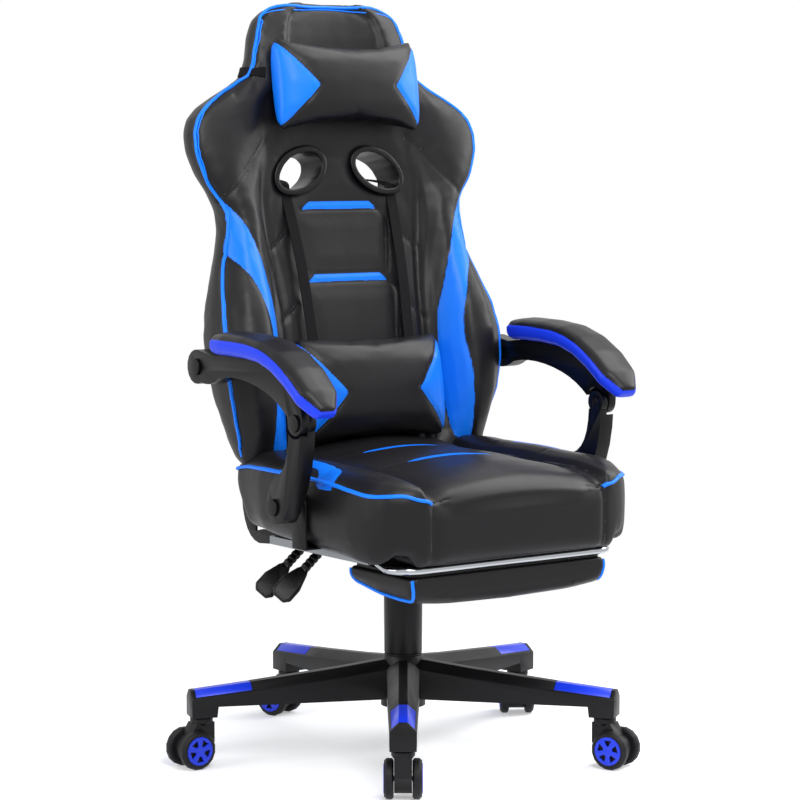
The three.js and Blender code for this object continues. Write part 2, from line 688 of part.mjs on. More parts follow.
function backRing(z) {
  const half = alongBack(backWidths, z);
  const wrap = alongBack(backWraps, z);
  const crest = wrap + alongBack(backCrests, z);
  const panel = alongBack(backPanels, z);
  const rear = -alongBack(backDepths, z);
  const seam = Math.min(backSeam, half * 0.62);
  const wing = half - seam;
  const right = [[0, panel], [seam * 0.45, panel + 1], [seam * 0.85, panel + 4], [seam, panel + 5],
    [seam + wing * 0.2, panel + 15], [seam + wing * 0.5, (panel + crest * 3) / 4 + 6],
    [seam + wing * 0.76, crest], [seam + wing * 0.95, wrap + 5], [half, wrap],
    [half + 1, (wrap + rear) / 2], [half - 4, rear + 6], [half - 18, rear - 2], [half * 0.5, rear - 8],
    [0, rear - 10]];
  const left = right.slice(1, -1).reverse().map(([x, out]) => [-x, out]);
  return [...right, ...left].map(([x, out]) => new THREE.Vector3(x, edgeLineY(z) - out, z));
}

const backStations = [0.0027, 0.0164, 0.0397, 0.0821, 0.1368, 0.1984, 0.2668, 0.3283, 0.3967, 0.4514,
  0.4993, 0.5404, 0.5814, 0.6224, 0.6703, 0.7114, 0.7415, 0.7661, 0.788, 0.8098, 0.8345, 0.8755, 0.9234,
  0.9603, 0.9822, 1].map(upBack);
const backPad = loft(backStations.map(backRing));

// Tubular frame: a tall arch inside the cushion, with a hinge plate welded to each foot.
function backFrame(tube) {
  const path = new THREE.CurvePath();
  const at = (x, z) => new THREE.Vector3(x, edgeLineY(z) + backTubeDepth, z);
  const corner = backTubeTop - backTubeBend;
  const inner = backTubeX - backTubeBend;
  path.add(new THREE.LineCurve3(at(-backTubeX, backTubeFoot), at(-backTubeX, corner)));
  path.add(new THREE.QuadraticBezierCurve3(at(-backTubeX, corner), at(-backTubeX, backTubeTop),
    at(-inner, backTubeTop)));
  path.add(new THREE.LineCurve3(at(-inner, backTubeTop), at(inner, backTubeTop)));
  path.add(new THREE.QuadraticBezierCurve3(at(inner, backTubeTop), at(backTubeX, backTubeTop),
    at(backTubeX, corner)));
  path.add(new THREE.LineCurve3(at(backTubeX, corner), at(backTubeX, backTubeFoot)));
  return sweep(path.getPoints(4), tube, 8);
}

// Round tube through points, mitred at each bend, its ends square.
function sweep(points, radius, sides) {
  const kept = points.filter((point, i) => i === 0 || point.distanceTo(points[i - 1]) > 1e-3);
  const plane = new THREE.Vector3().crossVectors(kept[1].clone().sub(kept[0]),
    kept[Math.floor(kept.length / 2)].clone().sub(kept[0])).normalize();
  const rings = kept.map((point, i) => {
    const before = point.clone().sub(kept[Math.max(i - 1, 0)]).normalize();
    const after = kept[Math.min(i + 1, kept.length - 1)].clone().sub(point).normalize();
    const along = before.clone().add(after).normalize();
    const across = new THREE.Vector3().crossVectors(along, plane).normalize();
    const stretch = 1 / Math.max(0.5, along.dot(i === 0 ? after : before));
    return Array.from({ length: sides }, (_, j) => {
      const angle = (j + 0.5) / sides * 2 * Math.PI;
      return point.clone().addScaledVector(across, radius * stretch * Math.cos(angle))
        .addScaledVector(plane, radius * Math.sin(angle));
    });
  });
  return loft(rings);
}

// Hinge plate of the back: round at the pin, running up to the tube that is welded across its top.
function backHingePlate(side) {
  const tubeY = edgeLineY(hingePlateTop) + backTubeDepth;
  const outline = new THREE.Shape();
  outline.moveTo(tubeY - backTube + 2, hingePlateTop);
  outline.lineTo(hingeY - hingePlateRound + 1, hingeZ + 4);
  outline.absarc(hingeY, hingeZ, hingePlateRound - 1, Math.PI, 2 * Math.PI, false);
  outline.lineTo(tubeY + 20, hingePlateTop);
  const middle = side * hingePlateX;
  return plateAcross(outline, middle - hingePlate / 2, middle + hingePlate / 2);
}

// Slot that the plate takes up in the foot of the cushion.
function backPlateRoom(side) {
  const middle = side * hingePlateX;
  const half = hingePlate / 2 + seatGap;
  return box([middle - half, hingeY - hingePlateRound - 6, hingeZ],
    [middle + half, hingeY + hingePlateRound, hingePlateTop + seatGap]);
}

add('back_frame', cut(join(backFrame(backTube), backHingePlate(1), backHingePlate(-1)),
  bar([-hingePlateX - 30, hingeY, hingeZ], [hingePlateX + 30, hingeY, hingeZ], hingePinRadius + seatGap)),
'blackSteel');

// Slanted hole with a moulded surround, drawn on the backrest's front plane.
function holeOutline(side, grow) {
  const tilt = holeTilt * degrees;
  const points = [];
  const sides = 14;
  for (let i = 0; i < sides; i++) {
    const angle = i / sides * 2 * Math.PI;
    const pointed = 1 + 0.10 * Math.max(0, Math.cos(angle + 0.5)) ** 3; // fuller at the lower outer end
    const u = (holeHalfWidth * pointed + grow) * Math.cos(angle);
    const v = (holeHalfHeight + grow) * Math.sin(angle);
    const point = new THREE.Vector2(u, v).rotateAround(new THREE.Vector2(), tilt);
    points.push(point.setX(side * (holeX + point.x)));
  }
  return side < 0 ? points.reverse() : points;
}

// Prism of that outline from one depth behind the edge line to another.
function holePrism(outline, holes, front, rear) {
  const shape = new THREE.Shape(outline);
  if (holes) shape.holes.push(new THREE.Path(holes));
  const geometry = new THREE.ExtrudeGeometry(shape, { depth: rear - front, bevelEnabled: false });
  return geometry.rotateX(Math.PI / 2).translate(0, rear, 0)
    .rotateX(-leanAngle).translate(0, edgeLineY(holeZ), holeZ);
}

const bezelFront = 10;
const bezelRear = backThickness + 14;
const bezelRooms = [];
for (const [side, word] of [[1, 'left'], [-1, 'right']]) {
  const opening = holeOutline(side, 0);
  const sleeve = holeOutline(side, bezelWall);
  const lip = holeOutline(side, bezelWall + bezelLip);
  add(`hole_bezel_${word}`, join(holePrism(sleeve, opening, bezelFront, bezelRear),
    holePrism(lip, opening, bezelFront - bezelLipThickness, bezelFront + 0.5),
    holePrism(lip, opening, bezelRear - 0.5, bezelRear + bezelLipThickness)), 'nylon');
  const sleeveRoom = holeOutline(side, bezelWall + seatGap);
  const lipRoom = holeOutline(side, bezelWall + bezelLip + seatGap);
  bezelRooms.push(holePrism(sleeveRoom, null, -60, backThickness + 60),
    holePrism(lipRoom, null, -60, bezelFront + 0.5 + seatGap),
    holePrism(lipRoom, null, bezelRear - 0.5 - seatGap, backThickness + 60));
}
// ================================================================ armrests
const bossRoom = frontBoss + openPivotPlay + 2 * runGap; // recess in which the other half's boss can shift

// Middle line of the padded top, which follows the arm down over its front end.
const fromRearPivot = ([forward, rise]) => [rearPivotY - forward, rearPivotZ + rise];
const fromFrontPivot = ([forward, rise]) => [frontPivotY - forward, frontPivotZ + rise];
const padPath = [...[[54, 39], [92, 41], [152, 40]].map(fromRearPivot),
  ...[[-75, 101], [-33, 88], [5, 67], [39, 40], [63, 16]].map(fromFrontPivot)];

// Point square off that line: how far it lies above it, or below when it is negative.
function offPad(i, rise) {
  const before = new THREE.Vector2(...padPath[Math.max(i - 1, 0)]);
  const along = new THREE.Vector2(...padPath[Math.min(i + 1, padPath.length - 1)]).sub(before).normalize();
  return new THREE.Vector2(padPath[i][0] + along.y * rise, padPath[i][1] - along.x * rise);
}

// Moulded arm: a disc at the rear pivot, a bar that arches forward and down to the front pivot.
function armShape() {
  const outline = new THREE.Shape();
  outline.absarc(rearPivotY, rearPivotZ, rearBoss, 100 * degrees, -120 * degrees, true);
  outline.quadraticCurveTo(rearPivotY - 40, rearPivotZ - 30, rearPivotY - 66, rearPivotZ - 14);
  outline.quadraticCurveTo(...fromRearPivot([112, -4]), ...fromFrontPivot([-105, 48]));
  outline.quadraticCurveTo(...fromFrontPivot([-53, 36]), ...fromFrontPivot([-20, 8]));
  outline.absarc(frontPivotY, frontPivotZ, frontBoss, 0, -170 * degrees, true);
  const underPad = [5, 4, 3, 2, 1].map((i) => offPad(i, -padHalfThickness - seatGap));
  outline.quadraticCurveTo(frontPivotY - 24, frontPivotZ + 18, underPad[0].x, underPad[0].y);
  for (const point of underPad) outline.lineTo(point.x, point.y);
  outline.lineTo(...fromRearPivot([50, 19]));
  outline.holes.push(circleShape(rearPivotY, rearPivotZ, pivotPin + seatGap, 12),
    circleShape(frontPivotY, frontPivotZ, pivotPin + openPivotPlay + seatGap, 16));
  return outline;
}

// The front end is halved in thickness, so that the post's tongue lies beside it.
function armFrame() {
  const blank = plateAcross(armShape(), armIn, armOut, 5);
  const tongueRoom = circleShape(frontPivotY, frontPivotZ, bossRoom, 16);
  return cut(blank, plateAcross(tongueRoom, armIn - 1, armX + seatGap));
}

function armPad() {
  const squeeze = [0.92, 1, 1, 1, 1, 1, 0.95, 0.6]; // both ends are rounded off
  const outline = [[-1, 0.1], [-0.94, 0.55], [-0.66, 0.95], [0, 1.06], [0.66, 0.95], [0.94, 0.55], [1, 0.1],
    [0.93, -0.62], [0.6, -1], [-0.6, -1], [-0.93, -0.62]];
  const rings = padPath.map((_, i) => outline.map(([u, v]) => {
    const point = offPad(i, v * padHalfThickness * squeeze[i]);
    return new THREE.Vector3(armX + u * padHalfWidth * squeeze[i], point.x, point.y);
  }));
  const rearEnd = rings[0].map((point) => new THREE.Vector3(armX + (point.x - armX) * 0.6, point.y + 8,
    padPath[0][1] + (point.z - padPath[0][1]) * 0.6));
  return loft([rearEnd, ...rings]);
}

// Post with a broad foot at its lower pivot and a half-thick tongue at the front pivot.
function armPost() {
  const outline = new THREE.Shape();
  outline.moveTo(frontPivotY - 14, frontPivotZ - 12);
  outline.quadraticCurveTo(frontPivotY - 12, footPivotZ + 44, footPivotY - footBoss - 9, footPivotZ - 14);
  outline.quadraticCurveTo(footPivotY - footBoss - 4, footPivotZ - footBoss - 5, footPivotY - 6,
    footPivotZ - footBoss - 6);
  outline.lineTo(footPivotY + 2, footPivotZ - footBoss - 6);
  outline.absarc(footPivotY, footPivotZ, footBoss, -60 * degrees, 20 * degrees, false);
  outline.quadraticCurveTo(footPivotY + 14, footPivotZ + 40, footPivotY - 14, footPivotZ + 50);
  outline.quadraticCurveTo(frontPivotY + 18, footPivotZ + 66, frontPivotY + 16, frontPivotZ - 12);
  const bossRecess = circleShape(frontPivotY, frontPivotZ, bossRoom, 16);
  const full = cut(plateAcross(outline, armIn, armOut, 5),
    plateAcross(bossRecess, armX - seatGap, armOut + 1));
  const tongueOutline = circleShape(frontPivotY, frontPivotZ, frontBoss - 1, 16);
  const tongue = plateAcross(tongueOutline, armIn, armX - seatGap);
  const holes = [
    bar([armIn - 9, footPivotY, footPivotZ], [armOut + 9, footPivotY, footPivotZ], pivotPin + seatGap),
    bar([armIn - 9, frontPivotY, frontPivotZ], [armOut + 9, frontPivotY, frontPivotZ], pivotPin + seatGap)];
  return cut(join(full, tongue), ...holes);
}

// Headed pin along X from one side to another, with an optional spacer collar.
function headedPin(y, z, from, to, spacer) {
  const parts = [bar([from, y, z], [to + 1, y, z], pivotPin),
    bar([to + seatGap, y, z], [to + 4, y, z], pivotPin + 7, 16)];
  if (spacer) parts.push(bar([spacer[0], y, z], [spacer[1], y, z], pivotPin + 7, 16));
  return join(...parts);
}

const bracketX = seatHalf + bracketThickness;

// Steel strap from under the seat board, out past the rail and up beside the cushion.
function armBracket() {
  const upright = new THREE.Shape();
  const foot = plateTop - plateThickness;
  upright.moveTo(footPivotY - bracketHalf, foot);
  upright.lineTo(footPivotY + bracketHalf, foot);
  upright.lineTo(footPivotY + bracketHalf, footPivotZ);
  upright.absarc(footPivotY, footPivotZ, bracketHalf, 0, Math.PI, false);
  const wall = plateAcross(upright, bracketX, bracketX + bracketThickness, 6);
  const strap = box([boardHalf - 45, footPivotY - bracketHalf, foot],
    [bracketX + 1, footPivotY + bracketHalf, plateTop]);
  const stud = headedPin(footPivotY, footPivotZ, bracketX + 1, armOut, [bracketX + 1, armIn - seatGap]);
  return join(wall, strap, stud);
}

for (const [word, place] of [['left', (geometry) => geometry], ['right', mirrored]]) {
  add(`arm_frame_${word}`, place(armFrame()), 'nylon');
  add(`arm_pad_${word}`, place(armPad()), 'leather');
  add(`arm_post_${word}`, place(armPost()), 'nylon');
  add(`arm_front_bolt_${word}`, place(headedPin(frontPivotY, frontPivotZ, armIn, armOut)), 'blackSteel');
  add(`arm_rear_bolt_${word}`, place(headedPin(rearPivotY, rearPivotZ, backTubeX + backTube, armOut,
    [backSideAtArm + 3, armIn - seatGap])), 'blackSteel');
  add(`arm_bracket_${word}`, place(armBracket()), 'blackSteel');
}

// ================================================================ backrest cushion, cut for what it holds
const boltRoom = [1, -1].map((side) => bar([side * (backTubeX - backTube), rearPivotY, rearPivotZ],
  [side * armOut, rearPivotY, rearPivotZ], pivotPin + seatGap));
add('back_cushion', cut(backPad, backFrame(backTube + seatGap), backPlateRoom(1), backPlateRoom(-1),
  ...bezelRooms, ...boltRoom), 'leather');

// ================================================================ footrest
const railTop = plateTop - plateThickness - seatGap;
const railBottom = railTop - railHeight;
const railZ = (railTop + railBottom) / 2;
const barZ = railZ - barDrop;
const restTop = barZ - barRadius - seatGap - clipFloor;

function rail(x) {
  const rectangle = (half, low, high) => [[-half, low], [half, low], [half, high], [-half, high]]
    .map(([u, v]) => new THREE.Vector2(u, v));
  const outer = new THREE.Shape(rectangle(railWidth / 2, 0, railHeight));
  outer.holes.push(new THREE.Path(rectangle(railWidth / 2 - railWall, railWall, railHeight - railWall)));
  const geometry = new THREE.ExtrudeGeometry(outer, { depth: railRear - railFront, bevelEnabled: false });
  return geometry.rotateX(Math.PI / 2).translate(x, railRear, railBottom);
}

add('footrest_rail_left', rail(railX), 'steel');
add('footrest_rail_right', rail(-railX), 'steel');

// Chrome tube bent to a U: its legs run in the rails and drop a little to the bar under the seat's lip.
function restTube() {
  const path = new THREE.CurvePath();
  const corner = barY + barBend;
  const inner = railX - barBend;
  const at = (x, y, z) => new THREE.Vector3(x, y, z);
  const line = (from, to) => path.add(new THREE.LineCurve3(from, to));
  line(at(-railX, legRear, railZ), at(-railX, corner + dropLength, railZ));
  line(at(-railX, corner + dropLength, railZ), at(-railX, corner, barZ));
  path.add(new THREE.QuadraticBezierCurve3(at(-railX, corner, barZ), at(-railX, barY, barZ),
    at(-inner, barY, barZ)));
  line(at(-inner, barY, barZ), at(inner, barY, barZ));
  path.add(new THREE.QuadraticBezierCurve3(at(inner, barY, barZ), at(railX, barY, barZ),
    at(railX, corner, barZ)));
  line(at(railX, corner, barZ), at(railX, corner + dropLength, railZ));
  line(at(railX, corner + dropLength, railZ), at(railX, legRear, railZ));
  return sweep(path.getPoints(5), barRadius, 10);
}
add('footrest_frame', restTube(), 'chrome');

// Upholstered pad, stowed face down under the bar.
function restRing(y) {
  const toFront = y - barY + 2;
  const toRear = barY + restDepth - y;
  const ends = Math.min(toFront, toRear);
  const round = Math.sqrt(Math.max(0, 1 - Math.max(0, 1 - ends / 16) ** 2));
  const half = restHalf - 10 * (1 - round);
  const taper = THREE.MathUtils.smoothstep(y, barY + 60, barY + restDepth); // thinner towards the back
  const bottom = restTop - restThickness + 13 * (1 - round) + 10 * taper;
  const top = restTop - restBoard - seatGap;
  const right = [[0, bottom - 3], [half * 0.6, bottom - 1], [half - 12, bottom + 3], [half - 3, bottom + 9],
    [half, (top + bottom) / 2 + 2], [half - 1, top - 3], [half - 4, top], [half * 0.5, top], [0, top]];
  const left = right.slice(1, -1).reverse().map(([x, z]) => [-x, z]);
  return [...right, ...left].map(([x, z]) => new THREE.Vector3(x, y, z));
}

const restFront = barY - 1;
const restStations = [0, 4, 12, 40, 90, 140, restDepth - 13, restDepth - 5, restDepth - 1];
const restPad = loft(restStations.map((reach) => restRing(restFront + reach)));
add('footrest_pad', restPad, 'leather');
const restBack = slab(roundedRectangle(restHalf - 6, barY + 4, barY + restDepth - 8, 14),
  restTop - restBoard, restTop);

// Two clips on the pad's board that turn on the bar, open to the front so that they snap over it.
function barClip(x) {
  const outline = new THREE.Shape();
  const inner = barRadius + seatGap;
  const outer = inner + clipWall;
  outline.absarc(barY, barZ, outer, 120 * degrees, 0, true);
  outline.lineTo(barY + outer, restTop - 2);
  outline.lineTo(barY, restTop - 2);
  outline.absarc(barY, barZ, inner, -90 * degrees, 120 * degrees, false);
  return plateAcross(outline, x - clipWidth / 2, x + clipWidth / 2, 8);
}
add('footrest_board', join(restBack, barClip(clipX), barClip(-clipX)), 'nylon');

// ================================================================ levers
const slope = leverSlope * degrees;
const down = new THREE.Vector3(-Math.cos(slope), 0, -Math.sin(slope));

for (const [name, y] of Object.entries(leverYs)) {
  const bend = new THREE.Vector3(leverBendX, y, leverZ);
  const sleeveStart = bend.clone().addScaledVector(down, 6);
  const sleeveEnd = sleeveStart.clone().addScaledVector(down, sleeveLength);
  const rodPath = [new THREE.Vector3(rodEnd, y, leverZ), bend.clone().setX(leverBendX + 8),
    bend.clone().addScaledVector(down, 4), sleeveStart.clone().addScaledVector(down, sleeveLength * 0.7)];
  add(`${name}_rod`, sweep(rodPath, leverRod, 10), 'steel');

  // Ribbed sleeve and flat paddle, turned and lofted along +Z and then swung onto the rod's slope.
  const ribPitch = sleeveLength / sleeveRibs;
  const profile = [[0, 0], [sleeveRadius - 2, 0]];
  for (let i = 0; i < sleeveRibs; i++) {
    profile.push([sleeveRadius, (i + 0.3) * ribPitch], [sleeveRadius, (i + 0.7) * ribPitch],
      [sleeveRadius - 1.6, (i + 1) * ribPitch]);
  }
  profile.push([0, sleeveLength]);
  const stations = [[-6, 10, 8], [6, 16, 9], [paddleLength * 0.5, paddleWidth, paddleThickness],
    [paddleLength * 0.86, paddleWidth, paddleThickness - 1],
    [paddleLength, paddleWidth * 0.6, paddleThickness - 3]]; // reach past the sleeve, width, thickness
  const softened = [[-1, -0.5], [-0.8, -1], [0.8, -1], [1, -0.5], [1, 0.5], [0.8, 1], [-0.8, 1], [-1, 0.5]];
  const paddle = loft(stations.map(([reach, wide, thick]) => softened.map(([u, v]) => (
    new THREE.Vector3(v * thick / 2, u * wide / 2, sleeveLength + reach)))));
  const swing = new THREE.Quaternion().setFromUnitVectors(new THREE.Vector3(0, 0, 1), down);
  const handle = join(turned(profile, 9), paddle)
    .applyQuaternion(swing).translate(...sleeveStart.toArray());
  const bore = bar(bend.toArray(),
    sleeveStart.clone().addScaledVector(down, sleeveLength * 0.7 + seatGap).toArray(), leverRod + seatGap);
  add(`${name}_handle`, cut(handle, bore), 'nylon');
}

// ================================================================ pillows and straps
// Stuffed pillow: rings from end to end, each an almond in Y and Z, fuller in the middle.
function pillow(halfWidth, halfHeight, halfDepth, sag) {
  const stations = [-1, -0.97, -0.86, -0.62, -0.3, 0, 0.3, 0.62, 0.86, 0.97, 1];
  const rings = stations.map((share) => {
    const full = Math.sqrt(Math.max(0.02, 1 - share ** 4));
    const tall = halfHeight * (1 - sag * (1 - share ** 2)) * (Math.abs(share) > 0.99 ? 0.86 : 1);
    const deep = halfDepth * (0.16 + 0.84 * full);
    return Array.from({ length: 14 }, (_, i) => {
      const angle = i / 14 * 2 * Math.PI;
      const c = Math.cos(angle);
      const s = Math.sin(angle);
      const height = s ? tall * Math.sign(s) * Math.abs(s) ** 0.75 : 0;
      return new THREE.Vector3(halfWidth * share, deep * c * Math.abs(c) ** 0.1, height);
    });
  });
  return loft(rings);
}

const lumbarSeat = edgeLineY(lumbarZ) + 20;
const headSeat = edgeLineY(headZ) + 7;
const lumbar = pillow(lumbarHalfWidth, lumbarHalfHeight, lumbarHalfDepth, 0.04).rotateX(-leanAngle)
  .translate(0, lumbarSeat - lumbarHalfDepth, lumbarZ);
const head = pillow(headHalfWidth, headHalfHeight, headHalfDepth, 0.14).rotateX(-leanAngle)
  .translate(0, headSeat - headHalfDepth - 1, headZ);
const backRoom = loft(backStations.map((z) => backRing(z).map((p) => p.clone().setY(p.y - seatGap))));
add('lumbar_pillow', cut(lumbar, backRoom), 'leather');

// Flat webbing from each hole down behind the lumbar pillow.
function strap(side) {
  const overLip = bezelLipThickness - bezelFront + seatGap;
  const lipFoot = holeZ - holeHalfHeight - bezelWall - bezelLip - 18;
  const stations = [holeZ - 18, lipFoot, lipFoot - 16, 820, 760, 700, lumbarZ + lumbarHalfHeight - 14];
  return loft(stations.map((z) => {
    const out = z >= lipFoot ? overLip : alongBack(backPanels, z) + 7;
    return [[-1, 0], [1, 0], [1, 1], [-1, 1]].map(([u, v]) => new THREE.Vector3(
      side * strapX + u * strapWidth / 2, edgeLineY(z) - out - v * strapThickness, z));
  }));
}
add('lumbar_strap_left', strap(1), 'webbing');
add('lumbar_strap_right', strap(-1), 'webbing');
add('head_pillow', cut(head, backRoom), 'leather');

// ================================================================ centring
const bounds = new THREE.Box3().setFromObject(chair);
chair.position.set(-(bounds.min.x + bounds.max.x) / 2, -(bounds.min.y + bounds.max.y) / 2, 0);

export default chair;
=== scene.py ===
# %% [markdown]
# # A reclining gaming chair
# The solids of the chair are already built at their real size. This lesson dresses them: it sews leather
# over the cushions, lays piping along their edges, breaks the sharp edges of the moulded and steel pieces,
# and gives every surface the finish that its real material has.

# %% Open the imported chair
import json
import math

import bpy
import numpy as np
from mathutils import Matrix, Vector


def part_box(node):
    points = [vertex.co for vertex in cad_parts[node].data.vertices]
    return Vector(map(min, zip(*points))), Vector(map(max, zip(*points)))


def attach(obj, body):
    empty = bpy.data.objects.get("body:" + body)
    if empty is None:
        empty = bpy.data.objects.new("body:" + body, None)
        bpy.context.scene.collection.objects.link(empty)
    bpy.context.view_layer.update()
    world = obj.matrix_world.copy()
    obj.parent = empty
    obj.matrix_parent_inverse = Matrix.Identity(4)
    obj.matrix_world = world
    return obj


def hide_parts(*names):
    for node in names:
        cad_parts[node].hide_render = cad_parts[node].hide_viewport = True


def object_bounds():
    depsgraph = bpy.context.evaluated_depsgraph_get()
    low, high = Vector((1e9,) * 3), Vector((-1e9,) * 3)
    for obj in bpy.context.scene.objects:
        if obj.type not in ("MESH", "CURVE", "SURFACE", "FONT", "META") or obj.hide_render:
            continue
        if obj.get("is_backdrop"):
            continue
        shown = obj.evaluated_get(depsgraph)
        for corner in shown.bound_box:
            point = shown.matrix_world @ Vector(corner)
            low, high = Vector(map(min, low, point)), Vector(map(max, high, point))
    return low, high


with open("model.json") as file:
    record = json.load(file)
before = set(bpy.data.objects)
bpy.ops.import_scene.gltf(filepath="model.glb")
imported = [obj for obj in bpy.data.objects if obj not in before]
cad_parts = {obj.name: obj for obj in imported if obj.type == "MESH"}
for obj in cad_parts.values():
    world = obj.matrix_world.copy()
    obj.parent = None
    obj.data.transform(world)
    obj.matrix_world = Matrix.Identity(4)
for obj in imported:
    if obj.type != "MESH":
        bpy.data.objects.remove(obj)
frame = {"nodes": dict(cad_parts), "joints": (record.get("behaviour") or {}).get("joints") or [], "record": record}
cad_box = [list(corner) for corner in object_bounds()]
bpy.ops.object.select_all(action="DESELECT")
print("nodes:", len(frame["nodes"]), "box:", cad_box)

# %% [markdown]
# Every length below is written in millimetres from the column axis and the floor, as a chair maker's
# drawing would have it. The column stands a little off the middle of the whole box, so one helper moves a
# drawing's point to its place in metres, and its inverse reads a mesh back in drawing units.

# %% Drawing units
MM = 0.001
SIDES = ((1, "left"), (-1, "right"))
column_low, column_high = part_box("gas_cylinder")
COLUMN = np.array([(column_low.x + column_high.x) / 2, (column_low.y + column_high.y) / 2, 0.0])


def placed(points):
    """Drawing points in millimetres, as an array of metres in the chair's frame."""
    return np.asarray(points, float) * MM + COLUMN


def drawn(points):
    """Metres in the chair's frame, back as drawing points in millimetres."""
    return (np.asarray(points, float) - COLUMN) / MM


def node_points(node):
    """Every vertex of a solid, as drawing points."""
    mesh = frame["nodes"][node].data
    flat = np.zeros(len(mesh.vertices) * 3, np.float32)
    mesh.vertices.foreach_get("co", flat)
    return drawn(flat.reshape(-1, 3))


print("column axis at", COLUMN)

# %% [markdown]
# ## Where the camera stands
# The chair is seen from its right front, from armrest height and from more than four metres away, so the
# lens is a long one and the uprights stay nearly parallel.

# %% Camera
LENS = 116.9
STANDPOINT = [-2419, -3330, 957]
LOOK = (0.5840, 0.8060, -0.0943)


def new_object(name, data):
    """An object for a mesh, curve, lamp or camera, put in the scene."""
    made = bpy.data.objects.new(name, data)
    bpy.context.collection.objects.link(made)
    return made


camera = new_object("camera", bpy.data.cameras.new("camera"))
bpy.context.scene.camera = camera
camera.data.sensor_width = 36
camera.data.lens = LENS
camera.location = placed(STANDPOINT)
look = Vector(LOOK)
camera.rotation_euler = look.to_track_quat("-Z", "Y").to_euler()
camera.data.clip_end = 50
print("camera at", STANDPOINT, "mm with a lens of", LENS, "mm")

# %% [markdown]
# ## Floor, world and lamps
# A product is shown on a white sweep. White comes from what the camera and the reflections see, not from
# more light: the world is a mild grey as a light and pure white to the eye, in metal and through glass. The
# floor is matt, so it takes the chair's shadow, and it glows up to the same white with distance, so that no
# horizon shows.

# %% Colours and nodes
bpy.context.scene.view_settings.view_transform = "Standard"


def colour(hex_code):
    """An sRGB hex value as the linear colour that a shader works in."""
    parts = [int(hex_code[i:i + 2], 16) / 255 for i in (0, 2, 4)]
    return tuple(c / 12.92 if c <= 0.04045 else ((c + 0.055) / 1.055) ** 2.4 for c in parts) + (1.0,)


def shaded(hex_code, share):
    """A colour made lighter or darker by a share."""
    return tuple(c * share for c in colour(hex_code)[:3]) + (1,)


def add(owner, kind, settings=None, links=None):
    """Adds a shader node; settings are sockets or properties, and links join sockets to its inputs."""
    tree = owner.node_tree
    node = tree.nodes.new(kind)
    for key, value in (settings or {}).items():
        if isinstance(key, int) or key in node.inputs:
            node.inputs[key].default_value = value
        else:
            setattr(node, key, value)
    for key, source in (links or {}).items():
        tree.links.new(source, node.inputs[key])
    return node


def seen(owner):
    """1 for rays from the camera, a reflection or clear glass, 0 for light on its way to a surface."""
    rays = add(owner, "ShaderNodeLightPath")
    eye = add(owner, "ShaderNodeMath", {"operation": "MAXIMUM"},
              {0: rays.outputs["Is Camera Ray"], 1: rays.outputs["Is Glossy Ray"]})
    return add(owner, "ShaderNodeMath", {"operation": "MAXIMUM"},
               {0: eye.outputs[0], 1: rays.outputs["Is Transmission Ray"]}).outputs[0]


# %% World
world = bpy.data.worlds.new("light tent")
bpy.context.scene.world = world
world.use_nodes = True
world.node_tree.nodes.clear()
tent_light = add(world, "ShaderNodeBackground", {"Color": colour("f4f6fb"), "Strength": 0.42})
tent_seen = add(world, "ShaderNodeBackground", {"Color": (1, 1, 1, 1), "Strength": 1.0})
tent = add(world, "ShaderNodeMixShader", {},
           {0: seen(world), 1: tent_light.outputs[0], 2: tent_seen.outputs[0]})
add(world, "ShaderNodeOutputWorld", {}, {"Surface": tent.outputs[0]})

# %% Floor
FLOOR_SIZE, FLOOR_DROP = 24, 0.0005  # metres
FADE_FROM, FADE_TO = 0.55, 1.2  # the shadow's ground turns to pure white between these distances
bpy.ops.mesh.primitive_plane_add(size=FLOOR_SIZE, location=(0, 0, -FLOOR_DROP))
floor = bpy.context.object
floor.name = "studio_floor"
floor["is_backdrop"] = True
floor_paint = bpy.data.materials.new("matt white floor")
floor_paint.use_nodes = True
floor_paint.node_tree.nodes.clear()
floor_diffuse = add(floor_paint, "ShaderNodeBsdfDiffuse", {"Color": colour("f2f3f5")})
floor_glow = add(floor_paint, "ShaderNodeEmission", {"Color": (1, 1, 1, 1), "Strength": 0.35})
floor_lit = add(floor_paint, "ShaderNodeAddShader", {},
                {0: floor_diffuse.outputs[0], 1: floor_glow.outputs[0]})
floor_white = add(floor_paint, "ShaderNodeEmission", {"Color": (1, 1, 1, 1), "Strength": 1.0})
floor_place = add(floor_paint, "ShaderNodeTexCoord").outputs["Object"]
floor_reach = add(floor_paint, "ShaderNodeVectorMath", {"operation": "LENGTH"}, {0: floor_place})
floor_fade = add(floor_paint, "ShaderNodeMapRange", {"From Min": FADE_FROM, "From Max": FADE_TO},
                 {"Value": floor_reach.outputs["Value"]})
floor_far = add(floor_paint, "ShaderNodeMixShader", {},
                {0: floor_fade.outputs[0], 1: floor_lit.outputs[0], 2: floor_white.outputs[0]})
floor_mix = add(floor_paint, "ShaderNodeMixShader", {},
                {0: seen(floor_paint), 1: floor_diffuse.outputs[0], 2: floor_far.outputs[0]})
add(floor_paint, "ShaderNodeOutputMaterial", {}, {"Surface": floor_mix.outputs[0]})
floor.data.materials.append(floor_paint)

# %% Lamps


def soft_box(name, place, aim, size, power):
    """A square area lamp at a drawing point, turned to another."""
    lamp = bpy.data.lights.new(name, "AREA")
    lamp.size = size
    lamp.energy = power
    holder = new_object(name, lamp)
    start, goal = Vector(placed(place)), Vector(placed(aim))
    holder.location = start
    holder.rotation_euler = (goal - start).to_track_quat("-Z", "Y").to_euler()


